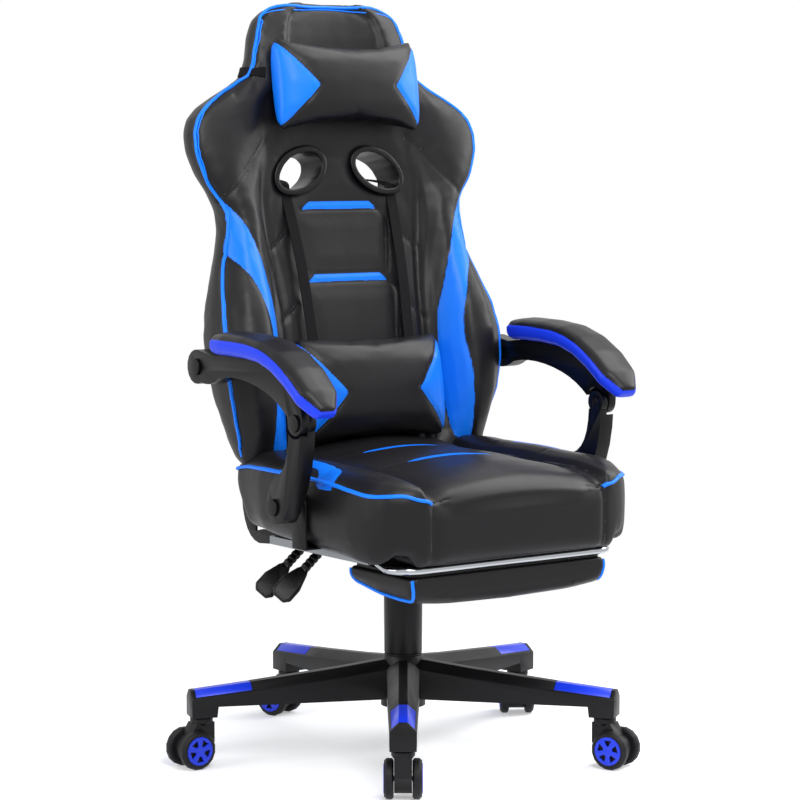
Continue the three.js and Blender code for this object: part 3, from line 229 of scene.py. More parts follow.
soft_box("key", [-900, -2300, 2500], [0, 0, 700], 1.5, 66)
soft_box("top", [1300, -500, 2700], [0, 0, 600], 1.7, 52)
soft_box("side", [-2900, 300, 1500], [0, 0, 700], 1.5, 34)
soft_box("far_side", [2600, -700, 1700], [0, 0, 700], 1.3, 30)
print("lamps:", [lamp.name for lamp in bpy.data.lights])

# %% [markdown]
# ## Leather, piping and webbing
# The cover is polyurethane leather: a thin coloured film pressed with a pebble grain on a knitted back. It
# is smoother and shinier than hide, so highlights are broad but clear. Three values are stored on
# each cushion's vertices, all in millimetres: `trim`, the distance to the edge of a blue patch, positive
# inside, `seam`, the distance to the nearest seam, and `stitch`, the distance to the nearest row of
# stitches. A distance stays exact between vertices, so the edge of a patch comes out sharper than the mesh
# that carries it.

# %% Materials for the covers
STITCH_MM = 4.5
RIB_MM = 1.6
PU_ROUGHNESS, PU_SPECULAR = 0.37, 0.24
PLASTIC_IOR = 1.5


def new_material(name):
    """An empty material, ready for its nodes."""
    made = bpy.data.materials.new(name)
    made.use_nodes = True
    made.node_tree.nodes.clear()
    return made


def leather(name, field, patch=None, grain_mm=1.5):
    """PU leather with a pebble grain; with a patch, also its other colour, painted shade in the seams and pale
    stitches.
    """
    made = new_material(name)
    place = add(made, "ShaderNodeTexCoord").outputs["Object"]
    tone = add(made, "ShaderNodeTexNoise", {"Scale": 9.0, "Detail": 3.0}, {"Vector": place})
    shade = add(made, "ShaderNodeMix", {"data_type": "RGBA", "A": colour(field), "B": shaded(field, 1.25)},
                {"Factor": tone.outputs[0]})
    base = shade.outputs["Result"]
    if patch:
        trim = add(made, "ShaderNodeAttribute", {"attribute_name": "trim"}).outputs["Fac"]
        inside = add(made, "ShaderNodeMapRange", {"From Min": -0.3, "From Max": 0.3}, {"Value": trim})
        base = add(made, "ShaderNodeMix", {"data_type": "RGBA", "B": colour(patch)},
                   {"Factor": inside.outputs[0], "A": base}).outputs["Result"]
        # painted shade: within about 1.4 mm of a seam the leather is darkened to near black, standing in for the
        # shade in the seam's groove
        seam = add(made, "ShaderNodeAttribute", {"attribute_name": "seam"}).outputs["Fac"]
        painted_seam_shade = add(made, "ShaderNodeMapRange", {"From Min": 0.5, "From Max": 1.4}, {"Value": seam})
        base = add(made, "ShaderNodeMix", {"data_type": "RGBA", "A": colour("060607")},
                   {"Factor": painted_seam_shade.outputs[0], "B": base}).outputs["Result"]
        row = add(made, "ShaderNodeAttribute", {"attribute_name": "stitch"}).outputs["Fac"]
        thread = add(made, "ShaderNodeMapRange",
                     {"From Min": 0.0, "From Max": 0.7, "To Min": 1.0, "To Max": 0.0}, {"Value": row})
        holes = add(made, "ShaderNodeTexWave", {"wave_type": "BANDS", "bands_direction": "Z",
                                                "Scale": 6.283 / 20 / (STITCH_MM * MM)}, {"Vector": place})
        dash = add(made, "ShaderNodeMapRange", {"From Min": 0.15, "From Max": 0.4},
                   {"Value": holes.outputs["Fac"]})
        sewn = add(made, "ShaderNodeMath", {"operation": "MULTIPLY"},
                   {0: thread.outputs[0], 1: dash.outputs[0]})
        base = add(made, "ShaderNodeMix", {"data_type": "RGBA", "B": colour("66666c")},
                   {"Factor": sewn.outputs[0], "A": base}).outputs["Result"]
    pebbles = add(made, "ShaderNodeTexVoronoi", {"feature": "SMOOTH_F1", "Scale": 1 / (grain_mm * MM)},
                  {"Vector": place})
    creases = add(made, "ShaderNodeTexNoise", {"Scale": 38.0, "Detail": 4.0, "Distortion": 0.6},
                  {"Vector": place})
    grain = add(made, "ShaderNodeBump", {"Strength": 0.28, "Distance": 0.00025},
                {"Height": pebbles.outputs["Distance"]})
    folds = add(made, "ShaderNodeBump", {"Strength": 0.25, "Distance": 0.0012},
                {"Height": creases.outputs[0], "Normal": grain.outputs[0]})
    gloss = add(made, "ShaderNodeMapRange", {"To Min": PU_ROUGHNESS - 0.04, "To Max": PU_ROUGHNESS + 0.08},
                {"Value": creases.outputs[0]})
    skin = add(made, "ShaderNodeBsdfPrincipled", {"IOR": PLASTIC_IOR, "Specular IOR Level": PU_SPECULAR},
               {"Base Color": base, "Roughness": gloss.outputs[0], "Normal": folds.outputs[0]})
    add(made, "ShaderNodeOutputMaterial", {}, {"Surface": skin.outputs[0]})
    return made


# %% The chair's leathers
BLACK_PU = "111012"
AZURE = "0a74ee"
ROYAL = "1a3ce0"

cover = leather("black PU leather with azure patches", BLACK_PU, AZURE)
pad_cover = leather("black PU leather with a royal blue band", BLACK_PU, ROYAL)
azure_pu = leather("azure PU leather piping", AZURE, None, 1.0)

# %% Elastic webbing


def webbing(name, shade):
    """Flat woven elastic: ribs of thread across the band."""
    made = new_material(name)
    place = add(made, "ShaderNodeTexCoord").outputs["Object"]
    ribs = add(made, "ShaderNodeTexWave", {"wave_type": "BANDS", "bands_direction": "Z",
                                           "Scale": 1 / (RIB_MM * MM * 20 / 6.283)}, {"Vector": place})
    weave = add(made, "ShaderNodeMix", {"data_type": "RGBA", "A": colour(shade), "B": colour("121214")},
                {"Factor": ribs.outputs["Fac"]})
    bump = add(made, "ShaderNodeBump", {"Strength": 0.5, "Distance": 0.0004}, {"Height": ribs.outputs["Fac"]})
    cloth = add(made, "ShaderNodeBsdfPrincipled", {"Roughness": 0.85, "Specular IOR Level": 0.15},
                {"Base Color": weave.outputs["Result"], "Normal": bump.outputs[0]})
    add(made, "ShaderNodeOutputMaterial", {}, {"Surface": cloth.outputs[0]})
    return made


elastic = webbing("black woven elastic", "070708")

# %% [markdown]
# ## Tools for sewn cushions
# A cushion starts from a copy of its solid, so it has the right size and place. Its skin is rebuilt as an
# even net of small squares, which cloth can bend, and relaxed so that no facet is left. A short cloth run
# under pressure then swells it, held within a limit in millimetres. Seams are pressed into that net
# afterwards, because rebuilding it would fill them again.

# %% Selecting, copying and smoothing


def select_only(piece):
    """Deselects everything and makes one piece selected and active."""
    bpy.ops.object.select_all(action="DESELECT")
    piece.select_set(True)
    bpy.context.view_layer.objects.active = piece


def apply_modifier(piece, kind, **settings):
    """Puts one modifier on a piece and applies it at once."""
    modifier = piece.modifiers.new(kind.lower(), kind)
    for key, value in settings.items():
        setattr(modifier, key, value)
    select_only(piece)
    bpy.ops.object.modifier_apply(modifier=modifier.name)


def edited(operator, **settings):
    """Runs one edit-mode operator on the whole of the active piece."""
    bpy.ops.object.mode_set(mode="EDIT")
    bpy.ops.mesh.select_all(action="SELECT")
    operator(**settings)
    bpy.ops.object.mode_set(mode="OBJECT")


def copy_of(node, name):
    """A welded copy of a solid, as a new piece."""
    piece = new_object(name, frame["nodes"][node].data.copy())
    piece.data.materials.clear()
    select_only(piece)
    edited(bpy.ops.mesh.remove_doubles, threshold=0.00002)
    return piece


def even_skin(piece, voxel_mm, relax):
    """Rebuilds the skin as even squares and relaxes it a number of times."""
    apply_modifier(piece, "REMESH", mode="VOXEL", voxel_size=voxel_mm * MM)
    apply_modifier(piece, "SMOOTH", factor=0.5, iterations=relax)


# %% Reading, moving and stuffing a skin
AWAY = 9.0  # stored where no seam or patch is near


def skin_of(piece):
    """Vertices as drawing points, and their normals."""
    count = len(piece.data.vertices)
    flat, turned = np.zeros(count * 3, np.float32), np.zeros(count * 3, np.float32)
    piece.data.vertices.foreach_get("co", flat)
    piece.data.vertices.foreach_get("normal", turned)
    return drawn(flat.reshape(-1, 3)), turned.reshape(-1, 3).astype(float)


def put_skin(piece, points):
    """Moves the vertices to drawing points."""
    piece.data.vertices.foreach_set("co", placed(points).astype(np.float32).ravel())
    piece.data.update()


def store(piece, name, values):
    """Keeps one number per vertex for the materials to read."""
    layer = piece.data.attributes.new(name, "FLOAT", "POINT")
    layer.data.foreach_set("value", np.asarray(values, np.float32))


def sew(piece, material, trim, seam, stitch):
    """Stores a cover's three distances, puts its material on and shades it smooth."""
    store(piece, "trim", trim)
    store(piece, "seam", seam)
    store(piece, "stitch", stitch)
    piece.data.materials.append(material)
    select_only(piece)
    bpy.ops.object.shade_smooth()


def puff(piece, limit_mm, pressure, steps=18):
    """Blows the skin up like a stuffed cover, then holds every point within a limit of where it was."""
    before, _ = skin_of(piece)
    select_only(piece)
    cloth = piece.modifiers.new("stuffing", "CLOTH")
    cloth.settings.use_pressure = True
    cloth.settings.uniform_pressure_force = pressure
    cloth.settings.effector_weights.gravity = 0
    cloth.settings.tension_stiffness = 30
    cloth.settings.compression_stiffness = 30
    cloth.settings.bending_stiffness = 2.0
    cloth.point_cache.frame_end = steps
    for step in range(1, steps + 1):
        bpy.context.scene.frame_set(step)
    bpy.ops.object.modifier_apply(modifier=cloth.name)
    bpy.context.scene.frame_set(1)
    after, _ = skin_of(piece)
    moved = after - before
    far = np.linalg.norm(moved, axis=1)
    moved *= (np.minimum(far, limit_mm) / np.maximum(far, 1e-6))[:, None]
    put_skin(piece, before + moved)
    print(piece.name, "pushed out", round(float(far.mean()), 2), "mm on average, most",
          round(float(far.max()), 1), "before the limit of", limit_mm)


# %% Seam lines


def smooth_line(points, pieces=10):
    """A smooth path through a few points."""
    points = np.asarray(points, float)
    padded = np.vstack([2 * points[0] - points[1], points, 2 * points[-1] - points[-2]])
    path = []
    for a, b, c, d in zip(padded, padded[1:], padded[2:], padded[3:]):
        for t in np.linspace(0, 1, pieces, endpoint=False):
            path.append(0.5 * (2 * b + (c - a) * t + (2 * a - 5 * b + 4 * c - d) * t ** 2
                               + (3 * b - a - 3 * c + d) * t ** 3))
    return np.array(path + [points[-1]])


def distance_to(flat, path):
    """Distance of flat points to a path."""
    nearest = np.full(len(flat), 1e9)
    for a, b in zip(path, path[1:]):
        along = b - a
        share = np.clip(((flat - a) @ along) / max(along @ along, 1e-9), 0, 1)
        nearest = np.minimum(nearest, np.linalg.norm(flat - a - share[:, None] * along, axis=1))
    return nearest


def within(flat, outline):
    """Signed distance to a closed outline: positive inside."""
    closed = np.vstack([outline, outline[:1]])
    inside = np.zeros(len(flat), bool)
    for (ax, ay), (bx, by) in zip(closed, closed[1:]):
        if ay != by:
            crosses = (ay > flat[:, 1]) != (by > flat[:, 1])
            inside ^= crosses & (flat[:, 0] < ax + (flat[:, 1] - ay) / (by - ay) * (bx - ax))
    return np.where(inside, 1, -1) * distance_to(flat, closed)


def dip(distance, width):
    """1 on a seam, falling smoothly to 0 at a width from it."""
    return 0.5 + 0.5 * np.cos(np.pi * np.clip(distance / width, 0, 1))


# %% Cords


def tube(name, path, radius_mm, material, sides=8):
    """A round cord along drawing points, as a mesh with capped ends."""
    curve = bpy.data.curves.new(name, "CURVE")
    curve.dimensions = "3D"
    curve.bevel_depth = radius_mm * MM
    curve.bevel_resolution = sides // 4
    curve.use_fill_caps = True
    spline = curve.splines.new("POLY")
    spline.points.add(len(path) - 1)
    spline.points.foreach_set("co", np.c_[placed(path), np.ones(len(path))].astype(np.float32).ravel())
    piece = new_object(name, curve)
    select_only(piece)
    bpy.ops.object.convert(target="MESH")
    bpy.ops.object.shade_smooth()
    piece.data.materials.clear()
    piece.data.materials.append(material)
    return piece


def laid_on(piece, path, lift_mm, rounds=4):
    """A path drawn onto a cushion's skin and lifted a little off it."""
    path = np.array(path, float)
    for _ in range(rounds):
        for i, point in enumerate(path):
            _, spot, normal, _ = piece.closest_point_on_mesh(Vector(placed(point)))
            path[i] = drawn(np.array(spot)) + np.array(normal) * lift_mm
        path[1:-1] = (path[:-2] + 2 * path[1:-1] + path[2:]) / 4
    return path


# %% [markdown]
# ## The backrest
# The front edge of the backrest is a straight line in side view that leans back. Its outline is read from
# the cushion's own skin, as the foremost of the outermost points in each slice, so the piping will lie
# exactly where the cover's two halves meet.

# %% Outline of the backrest
SLICE = 14
EDGE_BAND = 3  # how near the widest point the edge is looked for
SKIN_MM, RELAX = 4.0, 12
BACK_SWELL, PRESSURE, EASE = 2.5, 4.0, 8
backrest = copy_of("back_cushion", "backrest_cover")
even_skin(backrest, SKIN_MM, RELAX)
puff(backrest, BACK_SWELL, PRESSURE, EASE)
apply_modifier(backrest, "SMOOTH", factor=0.5, iterations=6)
points, normals = skin_of(backrest)
back_foot, back_top = points[:, 2].min(), points[:, 2].max()


def outer_edge(skin):
    """Points along one side's edge, from foot to top: half width, front and height of each slice."""
    rows = []
    for level in np.arange(back_foot + SLICE, back_top - SLICE / 2, SLICE):
        ring = skin[np.abs(skin[:, 2] - level) < EDGE_BAND]
        widest = np.abs(ring[:, 0]).max()
        edge = ring[np.abs(ring[:, 0]) > widest - EDGE_BAND]
        rows.append([widest - 1, edge[:, 1].min(), level])
    rows = np.array(rows)
    rows[1:-1] = (rows[:-2] + 2 * rows[1:-1] + rows[2:]) / 4
    return rows


back_edge = outer_edge(points)
print("slices of the backrest:", len(back_edge), "from", round(back_foot), "to", round(back_top))

# %% [markdown]
# Its front is four leather panels: a middle panel sunk between two bolsters, and a head piece. The middle
# panel has a plain field between quilted side strips, crossed by two short blue bars. Each bolster carries a
# blue band that starts on the piping at the waist and runs down to the seat. Every seam is a pulled-in
# line, and the leather swells between seams.

# %% Seams of the backrest, drawn from the front as x and z
CHANNEL = smooth_line([[120, 492], [134, 600], [137, 711], [143, 780], [150, 840], [152, 904], [146, 950],
                       [138, 985]])
INNER = [smooth_line([[76, 867], [90, 852], [91, 830], [86, 790], [80, 764]]),
         smooth_line([[80, 749], [94, 734], [93, 710], [86, 650], [80, 500]])]
SHOULDER = np.array([[138.0, 985], [183, 938], [232, 889]])
BAR_RISE = 13
bars = []
for bar_top, half_top, half_foot in ((880, 60, 76), (762, 65, 80)):  # height, half widths at top and foot
    bars.append(np.array([[-half_top, bar_top], [half_top, bar_top], [half_foot, bar_top - BAR_RISE],
                          [-half_foot, bar_top - BAR_RISE]]))
BAND_INNER = smooth_line([[236, 884], [216, 862], [201, 836], [191, 806], [184, 775], [177, 735], [170, 701],
                          [166, 660], [165, 600], [167, 545], [170, 492]])
BAND_OUTER = smooth_line([[196, 488], [200, 540], [202, 600], [198, 655], [200, 701], [212, 757], [236, 797]])
band = np.vstack([BAND_INNER, BAND_OUTER, [[250, 830]]])
QUILT_TOP, QUILT_PITCH, QUILT_FALL = 833, 119, 29
QUILT = [np.array([[108.0, z], [143.0, z - QUILT_FALL]])
         for z in (QUILT_TOP, QUILT_TOP - QUILT_PITCH, QUILT_TOP - 2 * QUILT_PITCH)]
CHANNEL_END, CHANNEL_FADE = 880, 60
PANEL_SWELL, PANEL_REACH = 2.2, 34
WAIST_SWELL, WAIST_X, WAIST_Z = 14, 198, 665  # the bolsters are fullest here
TUCK, TUCK_REACH = 9.0, 30

# %% How far each point of the front is from a seam
front = normals[:, 1] < -0.15
flat = np.c_[np.abs(points[:, 0]), points[:, 2]]
both = np.c_[points[:, 0], points[:, 2]]

bar_seams = np.minimum(*[np.abs(within(both, bar)) for bar in bars])
inner_seam = np.min([distance_to(flat, line) for line in INNER], axis=0)
channel_seam = distance_to(flat, CHANNEL)
quilt_seam = np.min([distance_to(flat, line) for line in QUILT], axis=0)
shoulder_seam = distance_to(flat, SHOULDER)
band_seam = np.abs(within(flat, band))
seams = np.min([bar_seams, inner_seam, channel_seam, quilt_seam, shoulder_seam, band_seam], axis=0)
# %% Swell and pulled-in seams of the backrest
low_part = 1 - np.clip((points[:, 2] - CHANNEL_END) / CHANNEL_FADE, 0, 1)  # it runs out beside the holes
depth = (5.0 * low_part * dip(channel_seam, 13) + 1.8 * dip(inner_seam, 7) + 1.8 * dip(quilt_seam, 8)
         + 1.5 * dip(bar_seams, 5) + 1.6 * dip(band_seam, 6) + 1.4 * dip(shoulder_seam, 6))
swell = PANEL_SWELL * (1 - dip(seams, PANEL_REACH))
swell += WAIST_SWELL * dip(flat[:, 0] - WAIST_X, 52) * dip(flat[:, 1] - WAIST_Z, 210)
push = np.where(front, swell - depth, 0.0)
tuck = TUCK * dip(points[:, 2] - back_foot, TUCK_REACH)  # the cover's foot is tucked down to the seat
put_skin(backrest, points + normals * push[:, None] - np.array([0, 0, 1]) * tuck[:, None])
trims = np.max([within(both, bar) for bar in bars] + [within(flat, band)], axis=0)
sewn = np.min([np.abs(shoulder_seam - 4), np.abs(inner_seam - 4), np.abs(quilt_seam - 3)], axis=0)
sew(backrest, cover, np.where(front, trims, -AWAY), np.where(front, seams, AWAY), np.where(front, sewn, AWAY))
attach(backrest, "back")
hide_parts("back_cushion")
print("backrest vertices:", len(points))

# %% [markdown]
# Piping is a thin cord wrapped in blue leather and caught between two panels. It runs in two strands on
# each side: one over the head, one from the neck down to the seat.

# %% Piping of the backrest
PIPING = 2.7
HEM, GROOVE = 1.2, 1.5  # the piping's sewn edge, a second thin line beside the cord, and the gap between
NECK = 1070  # height where the two strands meet
MIDDLE_Z = 800  # middle of the backrest, for telling inwards from outwards


def piped(name, cushion, path, inward, material, body):
    """A cord along an edge of a cushion, with its sewn edge as a thinner line a little inward of it."""
    path = smooth_line(path, 8)
    beside = path + np.asarray(inward(path), float) * (PIPING + HEM + GROOVE)
    cord = tube(name, laid_on(cushion, path, 1.2), PIPING, material)
    edge = tube(name + "_edge", laid_on(cushion, beside, 0.2), HEM, material)
    for strand in (cord, edge):
        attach(strand, body)


def into_front(path):
    """Sideways directions of a path on the backrest's front, turned towards its middle."""
    run = np.gradient(path, axis=0)
    square = np.c_[run[:, 2], np.zeros(len(run)), -run[:, 0]]
    square /= np.linalg.norm(square, axis=1)[:, None]
    to_middle = np.c_[-path[:, 0], np.zeros(len(path)), MIDDLE_Z - path[:, 2]]
    return square * np.sign(np.sum(square * to_middle, axis=1))[:, None]


right_half = back_edge[back_edge[:, 2] > NECK]
crown_point = [[0, right_half[-1, 1], back_top - 1.5]]
arch = np.vstack([right_half * [-1, 1, 1], crown_point, right_half[::-1]])
piped("head_piping", backrest, arch, into_front, azure_pu, "back")
for side, word in SIDES:
    strand = back_edge[back_edge[:, 2] < NECK + 12] * [side, 1, 1]
    piped(f"side_piping_{word}", backrest, strand, into_front, azure_pu, "back")

# %% [markdown]
# ## The seat
# The seat is a deep foam block. Its middle panel rolls over the front edge, and two firm bolsters run along
# the sides, closed by piping where they meet the skirt. A blue chevron is let into each bolster beside the
# armrest post, and two thin blue bars cross the middle panel.

# %% Lines and heights of the seat
SEAM_PLAN = smooth_line([[150, 122], [155, 60], [160, -20], [163, -120], [165, -220], [164, -275],
                         [163, -302]])
STRIPE_HALF, STRIPE_DEPTH = 84, 7.5
STRIPES = [-126, -5]
CHEVRON = np.vstack([smooth_line([[203, -16], [204, -36], [207, -78], [218, -142], [238, -160], [264, -160]]),
                     smooth_line([[264, -119], [246, -119], [232, -98], [228, -60], [227, -36], [226, -16]])])
ROLL = 58  # radius of the roll over the front edge
PANEL_TOP = 470
FRONT_SEAM = 163
REAR_LIFT, REAR_SLOPE = 13, 30  # the rear edge rises to the backrest, and the wall under it slopes in
LIP, ARCH, ARCH_REACH = 11, 14, 26  # the front hangs over the footrest, arched over the tube's legs
CREST, CREST_X = 4, 208  # the bolsters' crest
CROWN, CROWN_HALF = 17.0, 150  # swell of the middle panel
FACING = 0.3  # share of facing up or forward above which a point is on the top or the nose
FAR_OFF = -30.0
SEAT_SWELL = 1.0


def ramp(values, low, high):
    """0 below a range, 1 above it, smooth between."""
    share = np.clip((values - low) / (high - low), 0, 1)
    return share * share * (3 - 2 * share)


# %% The seat's block
seat = copy_of("seat_cushion", "seat_cover")
even_skin(seat, SKIN_MM, RELAX)
puff(seat, SEAT_SWELL, PRESSURE, EASE)
apply_modifier(seat, "SMOOTH", factor=0.5, iterations=6)
points, normals = skin_of(seat)
at_rear = ramp(points[:, 1], 10, 120)
points[:, 2] += REAR_LIFT * at_rear * ramp(points[:, 2], 400, 455)
points[:, 1] -= REAR_SLOPE * at_rear * ramp(-points[:, 2], -450, -375)
seat_leg_x = drawn(np.array(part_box("footrest_frame")[1]))[0] - 5
at_legs = np.clip(1.5 * dip(np.abs(np.abs(points[:, 0]) - seat_leg_x), ARCH_REACH), 0, 1)
points[:, 2] += (ARCH * at_legs - LIP) * ramp(-points[:, 1], 120, 290) * ramp(-points[:, 2], -400, -366)
beside = dip(np.abs(points[:, 0]) - CREST_X, 45)
points[:, 2] += CREST * ramp(points[:, 1], -170, -70) * beside * ramp(points[:, 2], 440, 470)
# %% The roll over the front edge
centre = np.array([points[:, 1].min() + ROLL, PANEL_TOP - ROLL])
spoke = points[:, 1:] - centre
reach = np.linalg.norm(spoke, axis=1)
rolled = (spoke[:, 0] < 0) & (spoke[:, 1] > 0) & (reach > ROLL)
shorter = np.where(rolled, ROLL / np.maximum(reach, 1e-6), 1.0)
middle_share = 1 - ramp(np.abs(points[:, 0]), 150, 176)
points[:, 1:] = centre + spoke * (1 - (1 - shorter) * middle_share)[:, None]
# %% Seams, chevrons and stripes of the seat
plan = np.c_[np.abs(points[:, 0]), points[:, 1]]
over = ramp(normals[:, 2], 0.1, 0.6) * ramp(points[:, 2], 400, 430)
nose = ramp(-normals[:, 1], 0.2, 0.6) * ramp(-points[:, 1], 250, 280)
top_seam = distance_to(plan, SEAM_PLAN)
front_seam = np.abs(plan[:, 0] - FRONT_SEAM)
long_seam = np.where(over > nose, top_seam, front_seam) + 40 * (np.maximum(over, nose) < FACING)
chevron = np.where(over > FACING, within(plan, CHEVRON), FAR_OFF)
taper = STRIPE_DEPTH * np.sqrt(np.clip(1 - (plan[:, 0] / STRIPE_HALF) ** 2, 0, 1))
from_stripe = np.min([np.abs(points[:, 1] - y) for y in STRIPES], axis=0)
stripe = np.where(over > FACING, taper - from_stripe, FAR_OFF)
depth = (6.0 * dip(long_seam, 16) * over + 2.5 * dip(long_seam, 10) * nose
         + 1.4 * dip(np.abs(chevron), 6) * over + 1.2 * dip(np.abs(stripe), 5))
crown = CROWN * (1 - np.clip(np.abs(points[:, 0]) / CROWN_HALF, 0, 1) ** 2) * over
put_skin(seat, points + normals * (1.5 * np.maximum(over, nose) - depth + crown)[:, None])
sew(seat, cover, np.maximum(chevron, stripe), np.min([long_seam, np.abs(chevron)], axis=0),
    np.where(np.maximum(over, nose) > FACING, np.abs(long_seam - 4), AWAY))
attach(seat, "seat")
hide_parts("seat_cushion")
print("seat cover vertices:", len(points))

# %% Piping of the seat
NOSE_Y, NOSE_Z = -300, 449  # where the piping ends, on the seam at the front corner
seat_solid = node_points("seat_cushion")
rows = []
for level in np.unique(np.round(seat_solid[:, 1])):
    ring = seat_solid[(np.abs(seat_solid[:, 1] - level) < 0.6) & (seat_solid[:, 2] > 405)]
    if len(ring) > 8:
        widest = ring[:, 0].max()
        edge = ring[(ring[:, 0] > widest - 3.2) & (ring[:, 0] < widest - 0.5)]
        if len(edge):
            rows.append([edge[np.argmax(edge[:, 2])][0], level, edge[:, 2].max()])
rows = np.array(rows)
print("seat edge:", rows.round(1).tolist())


def into_seat(path):
    """Sideways directions of a path round the seat, turned towards its middle line."""
    run = np.gradient(path, axis=0)
    square = np.c_[run[:, 1], -run[:, 0], np.zeros(len(run))]
    square /= np.linalg.norm(square, axis=1)[:, None]
    return square * -np.sign(square[:, 0] * path[:, 0])[:, None]


for side, word in SIDES:
    run = rows[np.argsort(rows[:, 1])] * [side, 1, 1]
    run = run[run[:, 1] > NOSE_Y]
    run[:, 2] += 2 + 9 * ramp(-run[:, 1], 255, 295) + REAR_LIFT * ramp(run[:, 1], 10, 120)
    run = np.vstack([[[side * FRONT_SEAM, NOSE_Y, NOSE_Z]], run])
    piped(f"seat_piping_{word}", seat, run, into_seat, azure_pu, "seat")

# %% [markdown]
# ## Pillows
# Both pillows are stuffed bags. A cover is cut as two faces, with a blue triangle let in at each end, so the
# middle is drawn up round and the corners stay thin. The skin is blown up by a short cloth simulation, which
# gives the even swell and the soft pull between the corners that no formula quite has.

# %% Pillow covers


def pillow(node, name, tip_mm, limit_mm, body="back"):
    """A stuffed pillow from its solid, with blue end triangles whose tips reach in towards the middle."""
    piece = copy_of(node, name)
    even_skin(piece, 4.0, 8)
    puff(piece, limit_mm, 4.0)
    apply_modifier(piece, "SMOOTH", factor=0.5, iterations=4)
    points, normals = skin_of(piece)
    low, high = points.min(axis=0), points.max(axis=0)
    middle, half_x, half_z = (low[2] + high[2]) / 2, (high[0] - low[0]) / 2, (high[2] - low[2]) / 2
    from_end = half_x - np.abs(points[:, 0] - (low[0] + high[0]) / 2)
    rise = np.abs(points[:, 2] - middle) / half_z
    triangle = (tip_mm * (1 - rise * 1.02) - from_end) * 0.75
    put_skin(piece, points - normals * (1.6 * dip(np.abs(triangle), 6))[:, None])
    sew(piece, cover, triangle, np.abs(triangle), np.abs(triangle + 3.5))
    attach(piece, body)
    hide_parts(node)


pillow("head_pillow", "head_pillow_cover", 64, 7)
pillow("lumbar_pillow", "lumbar_pillow_cover", 70, 8)

# %% [markdown]
# ## Webbing
# The lumbar pillow hangs on two bands that come out of the holes and run down behind it. The head pillow is
# held by one band round the neck of the backrest. A band is a flat ribbon: a strip of quads along its path,
# given its thickness by a Solidify modifier. The lumbar bands' inner ends are left straight, a little way
# behind the holes.

# %% A flat band


def ribbon(name, path, across, width_mm, thick_mm, replaced=None):
    """A flat band along drawing points; across holds the band's own sideways direction at each point."""
    bpy.ops.object.select_all(action="DESELECT")
    path, across = np.asarray(path, float), np.asarray(across, float)
    across = across / np.linalg.norm(across, axis=1)[:, None] * width_mm / 2
    rails = np.stack([path - across, path, path + across], axis=1)
    count = len(path)
    faces = [(i * 3 + j, i * 3 + j + 1, i * 3 + j + 4, i * 3 + j + 3)
             for i in range(count - 1) for j in range(2)]
    mesh = bpy.data.meshes.new(name)
    mesh.from_pydata(placed(rails.reshape(-1, 3)).tolist(), [], faces)
    piece = new_object(name, mesh)
    apply_modifier(piece, "SOLIDIFY", thickness=thick_mm * MM, offset=0)
    bpy.ops.object.shade_smooth_by_angle(angle=math.radians(40))
    piece.data.materials.append(elastic)
    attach(piece, "back")
    if replaced:
        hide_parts(replaced)


# %% Lumbar bands
LEAN = 0.146  # the backrest's lean, as rise of y with z
LUMBAR_BAND, HEAD_BAND = (19, 1.6), (16, 1.2)  # width and thickness
for side, word in SIDES:
    strap_low = drawn(np.array(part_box(f"lumbar_strap_{word}")[0]))
    lip_y = strap_low[1] + LEAN * (905 - strap_low[2]) + 3  # the hole's lower lip
    top = drawn(np.array(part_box("lumbar_pillow")[1]))
    route = smooth_line([[side * 80, lip_y + 86, 916], [side * 94, lip_y + 30, 912],
                         [side * 103, lip_y + 6, 906], [side * 104, lip_y + 1, 895],
                         [side * 99, top[1] + 4, 780],
                         [side * 95, top[1] - 22, top[2] + 2], [side * 94, top[1] - 30, top[2] - 12]], 8)
    ribbon(f"lumbar_band_{word}", route, np.tile([1.0, 0, 0], (len(route), 1)), *LUMBAR_BAND,
           f"lumbar_strap_{word}")

# %% Band round the neck
NECK_Z, NECK_Y, START_REACH = 1087, 215, 330  # the band's height, and a ring of starts round the neck
HEAD_PILLOW_HALF = 0.118  # metres to each side where the head pillow hides the band
around, outward = [], []
for turn in np.linspace(-math.pi / 2, math.pi * 1.5, 80)[1:-1]:
    start = Vector(placed([START_REACH * math.cos(turn), NECK_Y + START_REACH * math.sin(turn), NECK_Z]))
    aim = Vector(placed([0, NECK_Y, NECK_Z]))
    hit, spot, normal, _ = backrest.ray_cast(start, (aim - start).normalized())
    if hit and not (abs(spot.x) < HEAD_PILLOW_HALF and normal.y < 0):
        around.append(drawn(np.array(spot)) + np.array(normal) * 2.4)
        outward.append(normal)
around, outward = np.array(around), np.array(outward)
ribbon("head_band", around, np.cross(outward, np.gradient(around, axis=0)), *HEAD_BAND)
print("points of the head band:", len(around))

# %% [markdown]
# ## Arm pads
# Each pad is soft foam under a black top, with a blue band sewn round its side. The band is set off by a
# seam that follows the pad down over its front end, so the seam is told by how far a point lies below the
# pad's crest, measured square to its middle line.

